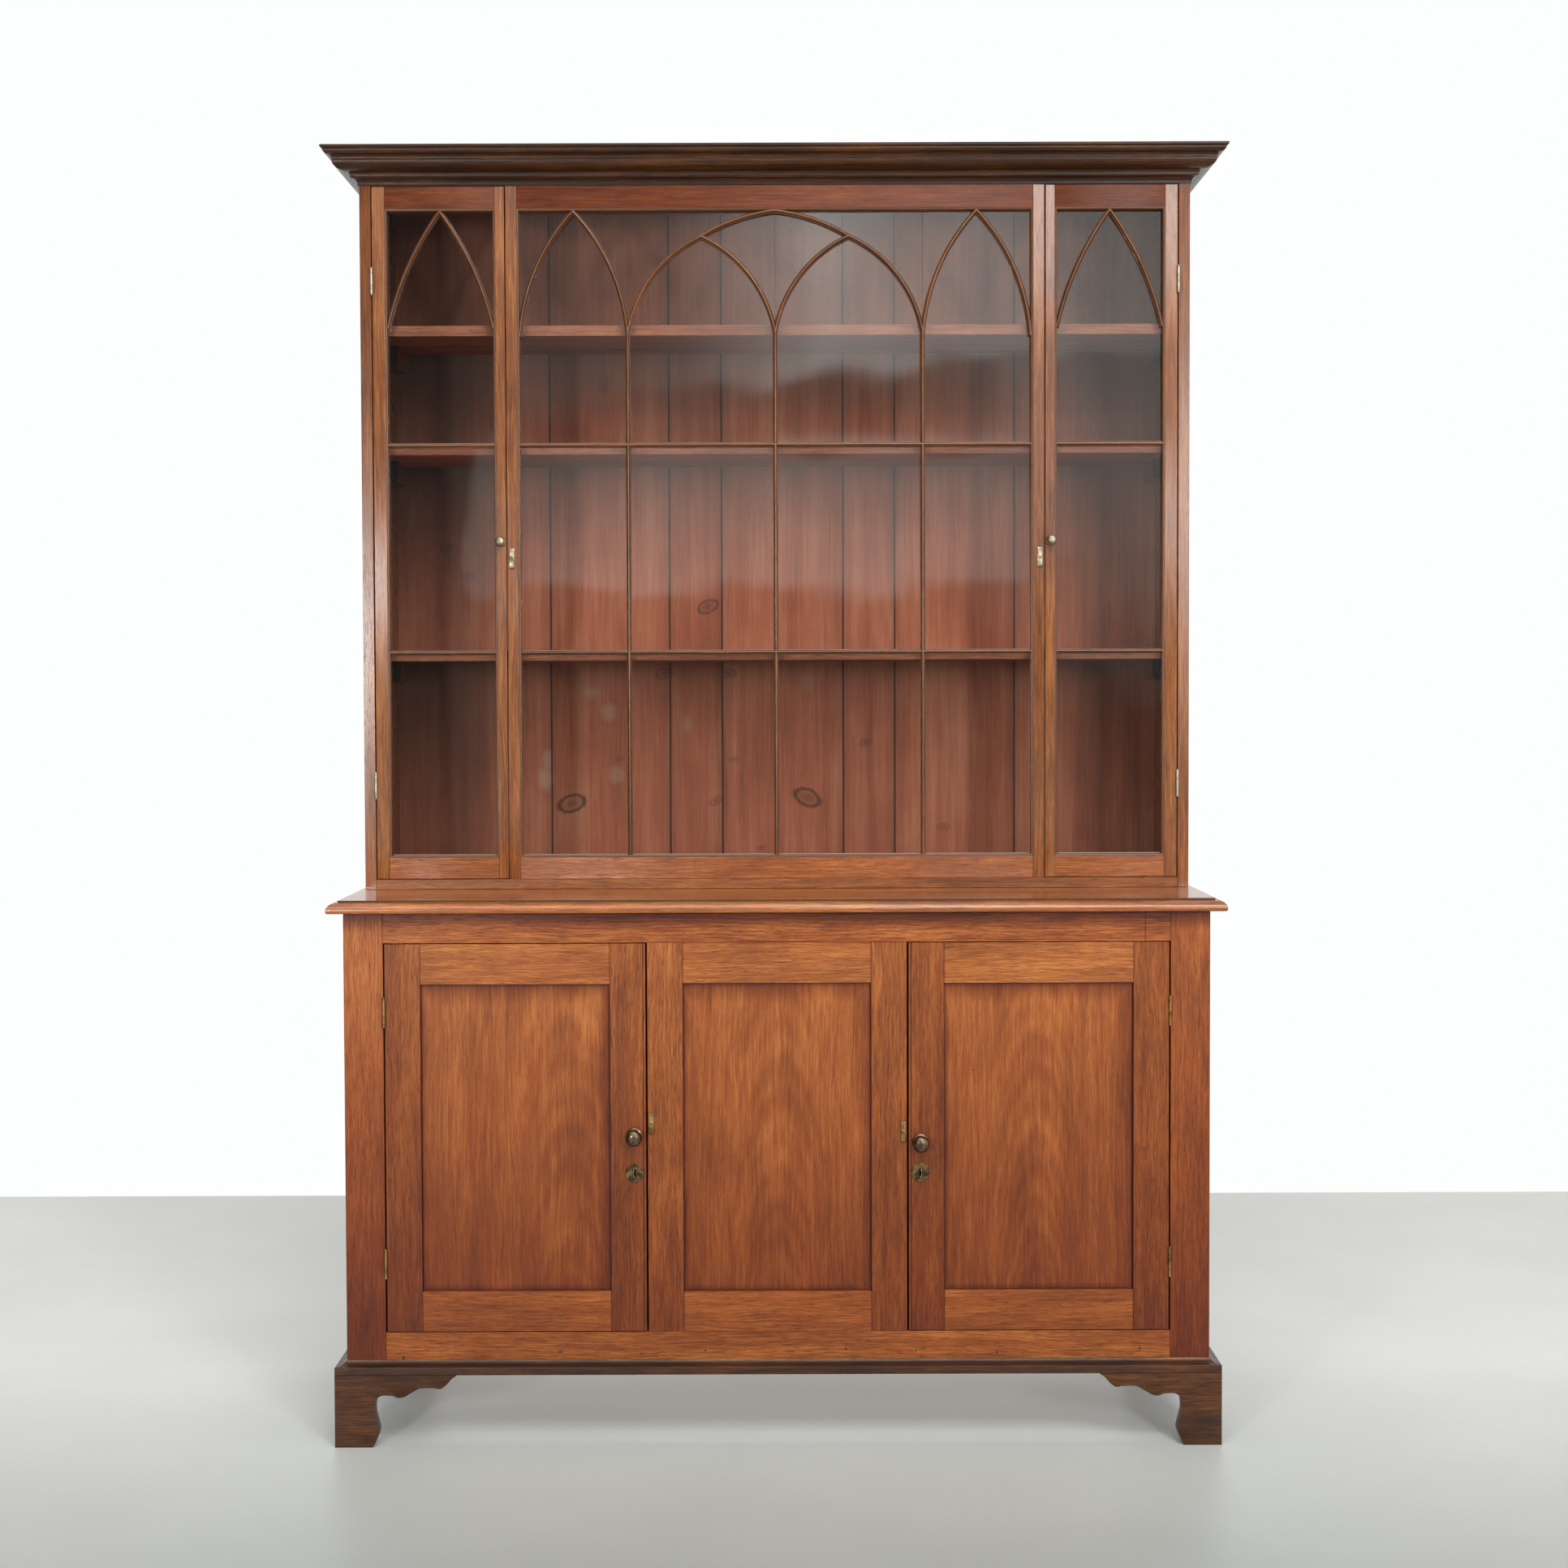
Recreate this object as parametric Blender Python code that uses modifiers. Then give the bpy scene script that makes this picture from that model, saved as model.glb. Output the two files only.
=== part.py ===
"""Glazed library bookcase on a three-panel cupboard base, as an assembly of its real pieces.

The front faces -Y, the floor is z = 0, and the origin is under the middle of the whole piece.
"""
import math

import bmesh
import bpy
from mathutils import Matrix, Vector

# Fits between pieces
SEAT = 0.0003  # between two pieces that rest on each other
DOOR_GAP = 0.0015  # above and below each door
OVERRUN = 0.005  # how far a cutter runs past what it cuts
EASED_EDGE = 0.0005  # chamfer that eases the edges of a board

# Cupboard base
WIDTH = 1.500  # of the cupboard and of the case that stands on it
BASE_DEPTH = 0.515
FOOT_HEIGHT = 0.1255
FOOT_SPAN = 0.214
FOOT_SIDE_SPAN = 0.190
FOOT_BOARD = 0.025
REAR_FOOT_SPAN = 0.095
PLINTH_HEIGHT = 0.0225
PLINTH_REACH = 0.019
PLINTH_BAND = 0.014  # upright part of the plinth moulding, under its hollow
BOTTOM_RAIL_HEIGHT = 0.048  # what shows above the plinth moulding
TOP_RAIL_HEIGHT = 0.053
BASE_STILE_WIDTH = 0.068
BASE_BOARD = 0.020
BASE_BACK_BOARD = 0.010
BASE_TOP_THICKNESS = 0.022
BASE_TOP_REACH = 0.026
BASE_TOP_FILLET = 0.002  # small upright step at the edge of the flat top
BASE_TOP_FLAT_REACH = 0.007
BASE_TOP_NOSE = 0.004  # rounding under the nose
LOWER_SHELF_HEIGHT = 0.330  # top of the shelf above the cupboard floor

# Cupboard doors and the fixed frame between them
LOWER_DOOR_HEIGHT = 0.676
LOWER_DOOR_THICKNESS = 0.022
LOWER_CENTRE_WIDTH = 0.450
LOWER_STILE = 0.062
LOWER_RAIL = 0.070
LOWER_PANEL_THICKNESS = 0.009
LOWER_PANEL_RECESS = 0.007
LOWER_PANEL_TONGUE = 0.009
LOWER_HINGE_GAP = 0.0025
LOWER_MEETING_GAP = 0.0025
QUIRK_WIDTH = 0.0012  # groove beside the bead on the meeting edges
BEAD_WIDTH = 0.0040

# Glazed case
CASE_DEPTH = 0.285
CASE_SIDE = 0.020
CASE_BOARD = 0.018
CASE_BACK_BOARD = 0.010
CASE_SIDE_RISE = 0.052  # side boards above the doors, behind the cornice
BACK_GROOVE_WIDTH = 0.0025
BACK_GROOVE_DEPTH = 0.0020
BACK_BOARD_SHARES = (0.202, 0.359, 0.428, 0.588, 0.656, 0.814)  # joints of the back, from the left
UPPER_DOOR_HEIGHT = 1.2515
UPPER_DOOR_THICKNESS = 0.020
UPPER_CENTRE_WIDTH = 0.974
HINGE_STILE = 0.027
MEETING_STILE = 0.021
CENTRE_STILE = 0.0245
UPPER_TOP_RAIL = 0.044
UPPER_BOTTOM_RAIL = 0.042
UPPER_HINGE_GAP = 0.0020
UPPER_MEETING_GAP = 0.0020
SIGHT_SPLAY = 0.004  # moulded edge round the glass
GLASS_THICKNESS = 0.003
GLASS_REBATE = 0.006
BAR_WIDTH = 0.0085
BAR_DEPTH = 0.0125
CENTRE_BAR_PITCH = 0.267
LOW_SHELF_HEIGHT = 0.417  # tops of the shelves above the case floor
MIDDLE_SHELF_HEIGHT = 0.7925
HIGH_SHELF_HEIGHT = 1.008
SHELF_THICKNESS = 0.019
SHELF_SETBACK = 0.012  # behind the doors
BAR_BELOW_SHELF_TOP = 0.0045
BEARER_HEIGHT = 0.036
BEARER_THICKNESS = 0.020
CASE_BEARER_SETBACK = 0.130  # behind the shelf's front

# Tracery: how far each curve starts below the top of the glass, and its bow as a share of its chord
DOOR_ARCH_DROP = 0.2105
DOOR_ARCH_BOW_SHARE = 0.052
END_ARCH_DROP = 0.226
END_ARCH_BOW_SHARE = 0.0875
MIDDLE_ARCH_DROP = 0.219
MIDDLE_ARCH_BOW_SHARE = 0.124
CROSSING_DROP = 0.0457
CROWN_BOW_SHARE = 0.054
ARC_PIECES = 9

# Cornice, whose mouldings are shares of its reach and height
CORNICE_HEIGHT = 0.062
CORNICE_REACH = 0.060

# Hinges
PIN_AHEAD = 0.0032  # hinge pin in front of the door face
BARREL_RADIUS = 0.00275
PIN_TIP = 0.0015
LEAF_THICKNESS = 0.0012
LEAF_DEPTH = 0.014
UPPER_HINGE_LENGTH = 0.048
LOWER_HINGE_LENGTH = 0.051
UPPER_HINGE_INSET = 0.170
LOWER_HINGE_INSET = 0.119

# Knobs, turn catches, locks
UPPER_KNOB_RADIUS = 0.009
UPPER_KNOB_REACH = 0.018
LOWER_KNOB_RADIUS = 0.0145
LOWER_KNOB_REACH = 0.034
KNOB_SHANK_DEPTH = 0.011
KNOB_SHANK_SHARE = 0.25  # shank radius as a share of the knob's
UPPER_KNOB_HEIGHT = 0.6115  # above the bottom of the glazed doors
UPPER_KNOB_INSET = 0.0105
LEFT_KNOB_RISE = 0.0655  # above the lock of the cupboard door
RIGHT_KNOB_RISE = 0.0535
LOWER_KNOB_INSET = 0.0205
CATCH_LENGTH = 0.037
CATCH_WIDTH = 0.0105
CATCH_THICKNESS = 0.0040
CATCH_SCREW_RADIUS = 0.0033
CATCH_SCREW_RISE = 0.0010
CATCH_SHANK_RADIUS = 0.0017
CATCH_SHANK_DEPTH = 0.010
UPPER_CATCH_DROP = 0.0300  # below the knob of the glazed door
UPPER_CATCH_INSET = 0.0080  # pivot from the edge of the fixed frame
LEFT_CATCH_RISE = 0.0220  # above the knob of the cupboard door
RIGHT_CATCH_RISE = 0.0180
LOWER_CATCH_INSET = 0.0065
PLATE_RADIUS = 0.016
PLATE_THICKNESS = 0.0016
KEYHOLE_WIDTH = 0.0034
KEYHOLE_HEIGHT = 0.0140
LOCK_HEIGHT = 0.276  # above the bottom of the cupboard doors
LOCK_LENGTH = 0.050
LOCK_WIDTH = 0.036
LOCK_THICKNESS = 0.010
BOLT_HEIGHT = 0.016
BOLT_THICKNESS = 0.005
BOLT_LENGTH = 0.024
BOLT_THROW = 0.008
BOLT_ROOM = 0.0008  # round the bolt in its mortise

# Places that follow from the sizes
FRONT = (LOWER_KNOB_REACH - BASE_DEPTH) / 2
BACK = FRONT + BASE_DEPTH
CASE_FRONT = BACK - CASE_DEPTH
HALF_WIDTH = WIDTH / 2
RAIL_FOOT = FOOT_HEIGHT + SEAT
CUPBOARD_FLOOR = FOOT_HEIGHT + PLINTH_HEIGHT + BOTTOM_RAIL_HEIGHT
LOWER_DOOR_FOOT = CUPBOARD_FLOOR + DOOR_GAP
LOWER_DOOR_HEAD = LOWER_DOOR_FOOT + LOWER_DOOR_HEIGHT
TOP_RAIL_FOOT = LOWER_DOOR_HEAD + DOOR_GAP
BASE_TOP_FOOT = TOP_RAIL_FOOT + TOP_RAIL_HEIGHT
CASE_FOOT = BASE_TOP_FOOT + BASE_TOP_THICKNESS
CASE_FLOOR = CASE_FOOT + SEAT + CASE_BOARD
UPPER_DOOR_FOOT = CASE_FLOOR + DOOR_GAP
UPPER_DOOR_HEAD = UPPER_DOOR_FOOT + UPPER_DOOR_HEIGHT
CASE_CEILING = UPPER_DOOR_HEAD + DOOR_GAP
CASE_INSIDE = HALF_WIDTH - CASE_SIDE
BASE_INSIDE = HALF_WIDTH - BASE_BOARD
GLASS_HEAD = UPPER_DOOR_HEAD - UPPER_TOP_RAIL
GLASS_FOOT = UPPER_DOOR_FOOT + UPPER_BOTTOM_RAIL
LOCK_PLACE = LOWER_DOOR_FOOT + LOCK_HEIGHT
KNOB_PLACES = (LOCK_PLACE + LEFT_KNOB_RISE, LOCK_PLACE + RIGHT_KNOB_RISE)
CATCH_PLACES = (KNOB_PLACES[0] + LEFT_CATCH_RISE, KNOB_PLACES[1] + RIGHT_CATCH_RISE)
UPPER_KNOB_PLACE = UPPER_DOOR_FOOT + UPPER_KNOB_HEIGHT
BAR_HEIGHTS = (CASE_FLOOR + LOW_SHELF_HEIGHT - BAR_BELOW_SHELF_TOP,
               CASE_FLOOR + MIDDLE_SHELF_HEIGHT - BAR_BELOW_SHELF_TOP)
SIDES = (("left", -1), ("right", 1))

for old in list(bpy.data.objects):
    bpy.data.objects.remove(old, do_unlink=True)
PARTS = bpy.data.collections.new("glazed_bookcase")
TOOLS = bpy.data.collections.new("cutters")
bpy.context.scene.collection.children.link(PARTS)
bpy.context.scene.collection.children.link(TOOLS)


def finish(name, colour, roughness, metallic=0.0, transmission=0.0):
    """One Principled material with a plain colour."""
    look = bpy.data.materials.new(name)
    look.use_nodes = True
    shader = look.node_tree.nodes["Principled BSDF"]
    shader.inputs["Base Color"].default_value = (*colour, 1.0)
    shader.inputs["Roughness"].default_value = roughness
    shader.inputs["Metallic"].default_value = metallic
    shader.inputs["Transmission Weight"].default_value = transmission
    look.diffuse_color = (*colour, 1.0)
    return look


def paint(piece, kind):
    """Give a piece a material of its own, of one of the kinds that the real object is made of."""
    colour, roughness, metallic, transmission = {
        "mahogany": ((0.33, 0.12, 0.05), 0.38, 0.0, 0.0),
        "dark mahogany": ((0.09, 0.035, 0.018), 0.34, 0.0, 0.0),
        "stained pine": ((0.21, 0.085, 0.055), 0.6, 0.0, 0.0),
        "glass": ((0.86, 0.90, 0.90), 0.03, 0.0, 1.0),
        "brass": ((0.48, 0.36, 0.15), 0.36, 1.0, 0.0),
        "bronze": ((0.16, 0.115, 0.075), 0.3, 1.0, 0.0),
        "iron": ((0.12, 0.11, 0.10), 0.55, 1.0, 0.0),
    }[kind]
    piece.data.materials.clear()
    piece.data.materials.append(finish(piece.name, colour, roughness, metallic, transmission))


def box(name, low, high, edge=0.0, collection=PARTS):
    """A rectangular piece between two corners, with its edges eased by a small chamfer."""
    size = Vector(high) - Vector(low)
    body = bmesh.new()
    bmesh.ops.create_cube(body, size=1, matrix=Matrix.Diagonal((*size, 1)))
    if edge:
        bmesh.ops.bevel(body, geom=body.edges[:], offset=edge, segments=1, affect="EDGES")
    mesh = bpy.data.meshes.new(name)
    body.to_mesh(mesh)
    body.free()
    piece = bpy.data.objects.new(name, mesh)
    piece.location = (Vector(high) + Vector(low)) / 2
    collection.objects.link(piece)
    return piece


def rod(name, centre, radius, length, axis, sides=16, collection=PARTS):
    """A round bar along an axis, centred on a point."""
    body = bmesh.new()
    bmesh.ops.create_cone(body, cap_ends=True, segments=sides, radius1=radius, radius2=radius,
                          depth=length)
    turn = Vector((0, 0, 1)).rotation_difference(Vector(axis)).to_matrix().to_4x4()
    bmesh.ops.transform(body, matrix=turn, verts=body.verts)
    mesh = bpy.data.meshes.new(name)
    body.to_mesh(mesh)
    body.free()
    piece = bpy.data.objects.new(name, mesh)
    piece.location = centre
    collection.objects.link(piece)
    return piece


def settle(piece):
    """Replace a piece's mesh by what its modifiers make of it."""
    graph = bpy.context.evaluated_depsgraph_get()
    mesh = bpy.data.meshes.new_from_object(piece.evaluated_get(graph))
    piece.modifiers.clear()
    piece.data = mesh


def bake(piece):
    """Put a piece's place into its mesh and clear its rounding noise, so shared faces coincide."""
    grid = SEAT / 300
    piece.data.transform(piece.matrix_world)
    piece.matrix_world = Matrix()
    for corner in piece.data.vertices:
        snapped = [round(value / grid) * grid for value in corner.co]
        corner.co = [near if abs(near - value) < SEAT / 1000 else value
                     for near, value in zip(snapped, corner.co)]
    return piece


def combine(piece, operation, tools):
    """Join tools onto a piece or cut them out of it, then remove the tools."""
    for tool in tools:
        tool.hide_render = True
        tool.display_type = "WIRE"
        change = piece.modifiers.new(operation.lower(), "BOOLEAN")
        change.operation = operation
        change.solver = "EXACT"
        change.object = tool
    settle(piece)
    for tool in tools:
        bpy.data.objects.remove(tool, do_unlink=True)
    return piece


def plate(name, outline, middle, thickness, rounded=(), across=False, collection=PARTS):
    """A flat piece cut to an upright outline, centred on the plane at middle.

    The outline's points are (sideways, height). Those listed in rounded are smooth and the
    rest are corners. With across, the plate faces sideways and its outline runs along Y.
    """
    curve = bpy.data.curves.new(name, "CURVE")
    curve.dimensions = "2D"
    curve.fill_mode = "BOTH"
    curve.extrude = thickness / 2
    curve.resolution_u = 3
    line = curve.splines.new("BEZIER")
    line.bezier_points.add(len(outline) - 1)
    for index, (point, place) in enumerate(zip(line.bezier_points, outline)):
        point.co = (*place, 0)
        kind = "AUTO" if index in rounded else "VECTOR"
        point.handle_left_type = kind
        point.handle_right_type = kind
    line.use_cyclic_u = True
    sketch = bpy.data.objects.new(name, curve)
    collection.objects.link(sketch)
    if across:
        sketch.matrix_world = Matrix(((0, 0, 1, middle), (1, 0, 0, 0), (0, 1, 0, 0), (0, 0, 0, 1)))
    else:
        sketch.matrix_world = Matrix(((1, 0, 0, 0), (0, 0, -1, middle), (0, 1, 0, 0), (0, 0, 0, 1)))
    return solid_from_curve(sketch, collection)


def solid_from_curve(sketch, collection):
    """Make a curve a closed mesh in its place, and remove the curve."""
    graph = bpy.context.evaluated_depsgraph_get()
    mesh = bpy.data.meshes.new_from_object(sketch.evaluated_get(graph))
    body = bmesh.new()
    body.from_mesh(mesh)
    bmesh.ops.remove_doubles(body, verts=body.verts, dist=SEAT / 10)
    bmesh.ops.recalc_face_normals(body, faces=body.faces)
    body.to_mesh(mesh)
    body.free()
    name = sketch.name
    place = sketch.matrix_world.copy()
    bpy.data.objects.remove(sketch, do_unlink=True)
    piece = bpy.data.objects.new(name, mesh)
    piece.matrix_world = place
    collection.objects.link(piece)
    return piece


def quarter(start, end, hollow, pieces=4):
    """A quarter ellipse from start to end: a round leaves upright, a hollow leaves level."""
    points = []
    for step in range(1, pieces + 1):
        turn = math.pi / 2 * step / pieces
        level = 1 - math.cos(turn) if not hollow else math.sin(turn)
        upright = math.sin(turn) if not hollow else 1 - math.cos(turn)
        points.append((start[0] + (end[0] - start[0]) * level,
                       start[1] + (end[1] - start[1]) * upright))
    return points


def moulded_block(name, half_width, front, back, foot, profile):
    """A block whose front and ends carry the same moulding, raised one outline at a time.

    The profile's points are (reach past the block, height above its foot), bottom first.
    """
    body = bmesh.new()
    bmesh.ops.create_grid(body, x_segments=1, y_segments=1, size=half_width)
    lid = body.faces[:]
    for level, (reach, height) in enumerate(profile):
        if level:
            raised = bmesh.ops.extrude_face_region(body, geom=lid + lid[0].edges[:])["geom"]
            lid = [item for item in raised if isinstance(item, bmesh.types.BMFace)]
        middle = sum((corner.co for corner in lid[0].verts), Vector()) / len(lid[0].verts)
        for corner in lid[0].verts:
            side = math.copysign(half_width + reach, corner.co.x)
            depth = front - reach if corner.co.y < middle.y else back
            corner.co = (side, depth, foot + height)
    bmesh.ops.recalc_face_normals(body, faces=body.faces)
    mesh = bpy.data.meshes.new(name)
    body.to_mesh(mesh)
    body.free()
    piece = bpy.data.objects.new(name, mesh)
    PARTS.objects.link(piece)
    return piece


def turned(name, profile, place, steps=18):
    """A turned piece whose axis points out of the front, from (radius, reach) points, tip first."""
    body = bmesh.new()
    corners = [body.verts.new((radius, 0, reach)) for radius, reach in profile]
    for first, second in zip(corners, corners[1:]):
        body.edges.new((first, second))
    mesh = bpy.data.meshes.new(name)
    body.to_mesh(mesh)
    body.free()
    piece = bpy.data.objects.new(name, mesh)
    PARTS.objects.link(piece)
    piece.rotation_euler = (math.pi / 2, 0, 0)
    piece.location = place
    lathe = piece.modifiers.new("lathe", "SCREW")
    lathe.steps = steps
    lathe.render_steps = steps
    lathe.use_merge_vertices = True
    lathe.merge_threshold = SEAT / 10
    settle(piece)
    piece.data.shade_smooth()
    piece.data.set_sharp_from_angle(angle=math.radians(35))
    return piece


def foot_outline(span):
    """Scrolled bracket of one foot: from its outer corner, (inward, height) in the span's shares."""
    shares = ((0, 0), (0.307, 0), (0.357, 0.20), (0.327, 0.47), (0.327, 0.64), (0.39, 0.72),
              (0.475, 0.72), (0.53, 0.687), (0.60, 0.735), (0.70, 0.822), (0.80, 0.822),
              (0.862, 0.812), (0.95, 0.95), (1, 1), (0, 1))
    rounded = (2, 3, 4, 5, 6, 7, 8, 9, 10, 12)
    points = [(span * inward, FOOT_HEIGHT * height) for inward, height in shares]
    return points, rounded


def feet():
    """Four bracket feet, each of two boards joined at the corner."""
    for label, side in SIDES:
        edge = side * (HALF_WIDTH + PLINTH_REACH)
        points, rounded = foot_outline(FOOT_SPAN)
        outline = [(edge - side * inward, height) for inward, height in points]
        front = bake(plate(f"foot_front_{label}", outline,
                           FRONT - PLINTH_REACH + FOOT_BOARD / 2, FOOT_BOARD, rounded))
        points, rounded = foot_outline(FOOT_SIDE_SPAN)
        outline = [(FRONT - PLINTH_REACH + inward, height) for inward, height in points]
        middle = edge - side * FOOT_BOARD / 2
        flank = bake(plate("flank", outline, middle, FOOT_BOARD, rounded, True, TOOLS))
        paint(combine(front, "UNION", [flank]), "dark mahogany")

        outline = [(BACK - inward, height) for inward, height in points]
        rear = plate(f"foot_rear_{label}", outline, middle, FOOT_BOARD, rounded, True)
        inner = edge - side * REAR_FOOT_SPAN
        block = box("block", (min(edge, inner), BACK - FOOT_BOARD, 0),
                    (max(edge, inner), BACK, FOOT_HEIGHT), collection=TOOLS)
        paint(combine(rear, "UNION", [block]), "dark mahogany")


def plinth():
    """Moulding round the foot of the cupboard: an upright band with a hollow above it."""
    band = (PLINTH_REACH, PLINTH_BAND)
    profile = [(PLINTH_REACH, 0), band]
    profile += quarter(band, (SEAT * 2, PLINTH_HEIGHT), True)
    piece = moulded_block("plinth_moulding", HALF_WIDTH, FRONT, BACK, FOOT_HEIGHT + SEAT, profile)
    core = box("core", (-HALF_WIDTH - SEAT, FRONT - SEAT, 0), (HALF_WIDTH + SEAT, BACK + OVERRUN,
               CUPBOARD_FLOOR), collection=TOOLS)
    paint(combine(piece, "DIFFERENCE", [core]), "dark mahogany")


def base_carcase():
    """Sides, floor, back, shelf, and the stiles and rails of the cupboard's front."""
    rear_of_front = FRONT + LOWER_DOOR_THICKNESS + SEAT
    head = BASE_TOP_FOOT - SEAT
    shelf_top = CUPBOARD_FLOOR + LOWER_SHELF_HEIGHT
    shelf_foot = shelf_top - BASE_BOARD
    back_face = BACK - BASE_BACK_BOARD
    for label, side in SIDES:
        outer, inner = side * HALF_WIDTH, side * BASE_INSIDE
        board = box(f"base_side_{label}", (min(outer, inner), rear_of_front, RAIL_FOOT),
                    (max(outer, inner), BACK, head), EASED_EDGE)
        tip = inner - side * BEARER_THICKNESS
        bearer = box("bearer", (min(inner + side * OVERRUN, tip), rear_of_front + BEARER_THICKNESS,
                     shelf_foot - SEAT - BEARER_HEIGHT), (max(inner + side * OVERRUN, tip),
                     back_face - SEAT, shelf_foot - SEAT), collection=TOOLS)
        paint(combine(board, "UNION", [bearer]), "mahogany")
        inner = side * (HALF_WIDTH - BASE_STILE_WIDTH)
        stile = box(f"base_stile_{label}", (min(outer, inner), FRONT, RAIL_FOOT),
                    (max(outer, inner), rear_of_front - SEAT, head), EASED_EDGE)
        paint(stile, "mahogany")
    rail_end = HALF_WIDTH - BASE_STILE_WIDTH - SEAT
    paint(box("base_bottom_rail", (-rail_end, FRONT, RAIL_FOOT),
              (rail_end, rear_of_front - SEAT, CUPBOARD_FLOOR), EASED_EDGE), "mahogany")
    paint(box("base_top_rail", (-rail_end, FRONT, TOP_RAIL_FOOT),
              (rail_end, rear_of_front - SEAT, head), EASED_EDGE), "mahogany")
    inside = BASE_INSIDE - SEAT
    paint(box("base_bottom", (-inside, rear_of_front, CUPBOARD_FLOOR - BASE_BOARD),
              (inside, BACK, CUPBOARD_FLOOR), EASED_EDGE), "stained pine")
    paint(box("base_back", (-inside, back_face, CUPBOARD_FLOOR + SEAT), (inside, BACK, head)),
          "stained pine")
    paint(box("base_shelf", (-inside, rear_of_front + BEARER_THICKNESS, shelf_foot),
              (inside, back_face - SEAT, shelf_top), EASED_EDGE), "stained pine")


def base_top():
    """Top board with a rounded nose, an ovolo and a small fillet on its front and ends."""
    nose = (BASE_TOP_REACH, BASE_TOP_NOSE)
    flat = (BASE_TOP_FLAT_REACH, BASE_TOP_THICKNESS - BASE_TOP_FILLET)
    start = (BASE_TOP_REACH - BASE_TOP_NOSE, 0)
    profile = [start] + quarter(start, nose, True, 3) + quarter(nose, flat, False, 6)
    profile.append((BASE_TOP_FLAT_REACH, BASE_TOP_THICKNESS))
    piece = moulded_block("base_top", HALF_WIDTH, FRONT, BACK, BASE_TOP_FOOT, profile)
    paint(piece, "mahogany")


def framed(name, low, high, stiles, rails, extra):
    """A frame of two stiles and two rails with a square opening, and any further cuts."""
    piece = box(name, low, high, EASED_EDGE)
    hole_low = (low[0] + stiles[0], low[1] - OVERRUN, low[2] + rails[0])
    hole_high = (high[0] - stiles[1], high[1] + OVERRUN, high[2] - rails[1])
    hole = box("hole", hole_low, hole_high, collection=TOOLS)
    return combine(piece, "DIFFERENCE", [hole] + extra)


def panel_groove(low, high, face):
    """Cutter for the groove that holds a panel, round an opening between two corners."""
    rear = face + LOWER_PANEL_RECESS + LOWER_PANEL_THICKNESS
    reach = LOWER_PANEL_TONGUE
    return box("groove", (low[0] - reach, face + LOWER_PANEL_RECESS, low[1] - reach),
               (high[0] + reach, rear, high[1] + reach), collection=TOOLS)


def edge_bead(edge, side, face, foot, head):
    """Cutter for the fine groove that leaves a bead along a meeting edge."""
    far = edge - side * BEAD_WIDTH
    near = far - side * QUIRK_WIDTH
    return box("quirk", (min(far, near), face - OVERRUN, foot - OVERRUN),
               (max(far, near), face + QUIRK_WIDTH, head + OVERRUN), collection=TOOLS)


def panelled(name, panel_name, low, high, extra):
    """One cupboard frame with its flat panel held in a groove."""
    sight_low = (low[0] + LOWER_STILE, low[2] + LOWER_RAIL)
    sight_high = (high[0] - LOWER_STILE, high[2] - LOWER_RAIL)
    groove = panel_groove(sight_low, sight_high, low[1])
    frame = framed(name, low, high, (LOWER_STILE,) * 2, (LOWER_RAIL,) * 2, [groove] + extra)
    paint(frame, "mahogany")
    reach = LOWER_PANEL_TONGUE - SEAT
    face = low[1] + LOWER_PANEL_RECESS + SEAT
    panel = box(panel_name, (sight_low[0] - reach, face, sight_low[1] - reach),
                (sight_high[0] + reach, face + LOWER_PANEL_THICKNESS - SEAT * 2,
                 sight_high[1] + reach))
    paint(panel, "mahogany")
    return frame, panel


def shank_hole(x, face, z, radius, depth):
    """Cutter for the hole that a shank turns or sits in."""
    middle = face + (depth + SEAT - OVERRUN) / 2
    length = depth + SEAT + OVERRUN
    return rod("hole", (x, middle, z), radius + SEAT, length, (0, 1, 0), 12, TOOLS)


def knob(name, x, face, z, radius, reach):
    """A turned knob with a collar and a shank that sits in the stile."""
    shank = radius * KNOB_SHANK_SHARE
    shares = ((0, 1), (0.42, 0.985), (0.78, 0.91), (0.97, 0.79), (1, 0.66), (0.90, 0.52),
              (0.62, 0.40), (0.46, 0.31), (0.46, 0.17), (0.80, 0.12), (1, 0.07), (1, 0))
    profile = [(radius * wide, reach * far) for wide, far in shares]
    profile[-1] = (profile[-1][0], SEAT)
    profile += [(shank, SEAT), (shank, -KNOB_SHANK_DEPTH), (0, -KNOB_SHANK_DEPTH)]
    return turned(name, profile, (x, face, z))


def catch(name, x, face, z):
    """A turn catch, upright: a bar with chamfered ends, its screw head and its shank."""
    rear = face - SEAT
    bar = box(name, (x - CATCH_WIDTH / 2, rear - CATCH_THICKNESS, z - CATCH_LENGTH / 2),
              (x + CATCH_WIDTH / 2, rear, z + CATCH_LENGTH / 2), CATCH_THICKNESS / 5)
    head_length = CATCH_SCREW_RISE + CATCH_THICKNESS / 2
    head = rod("head", (x, rear - CATCH_THICKNESS - CATCH_SCREW_RISE + head_length / 2, z),
               CATCH_SCREW_RADIUS, head_length, (0, 1, 0), 14, TOOLS)
    shank_length = CATCH_SHANK_DEPTH + CATCH_THICKNESS / 2
    shank = rod("shank", (x, face + CATCH_SHANK_DEPTH - shank_length / 2, z),
                CATCH_SHANK_RADIUS, shank_length, (0, 1, 0), 10, TOOLS)
    paint(combine(bar, "UNION", [head, shank]), "brass")
    return bar


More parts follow.
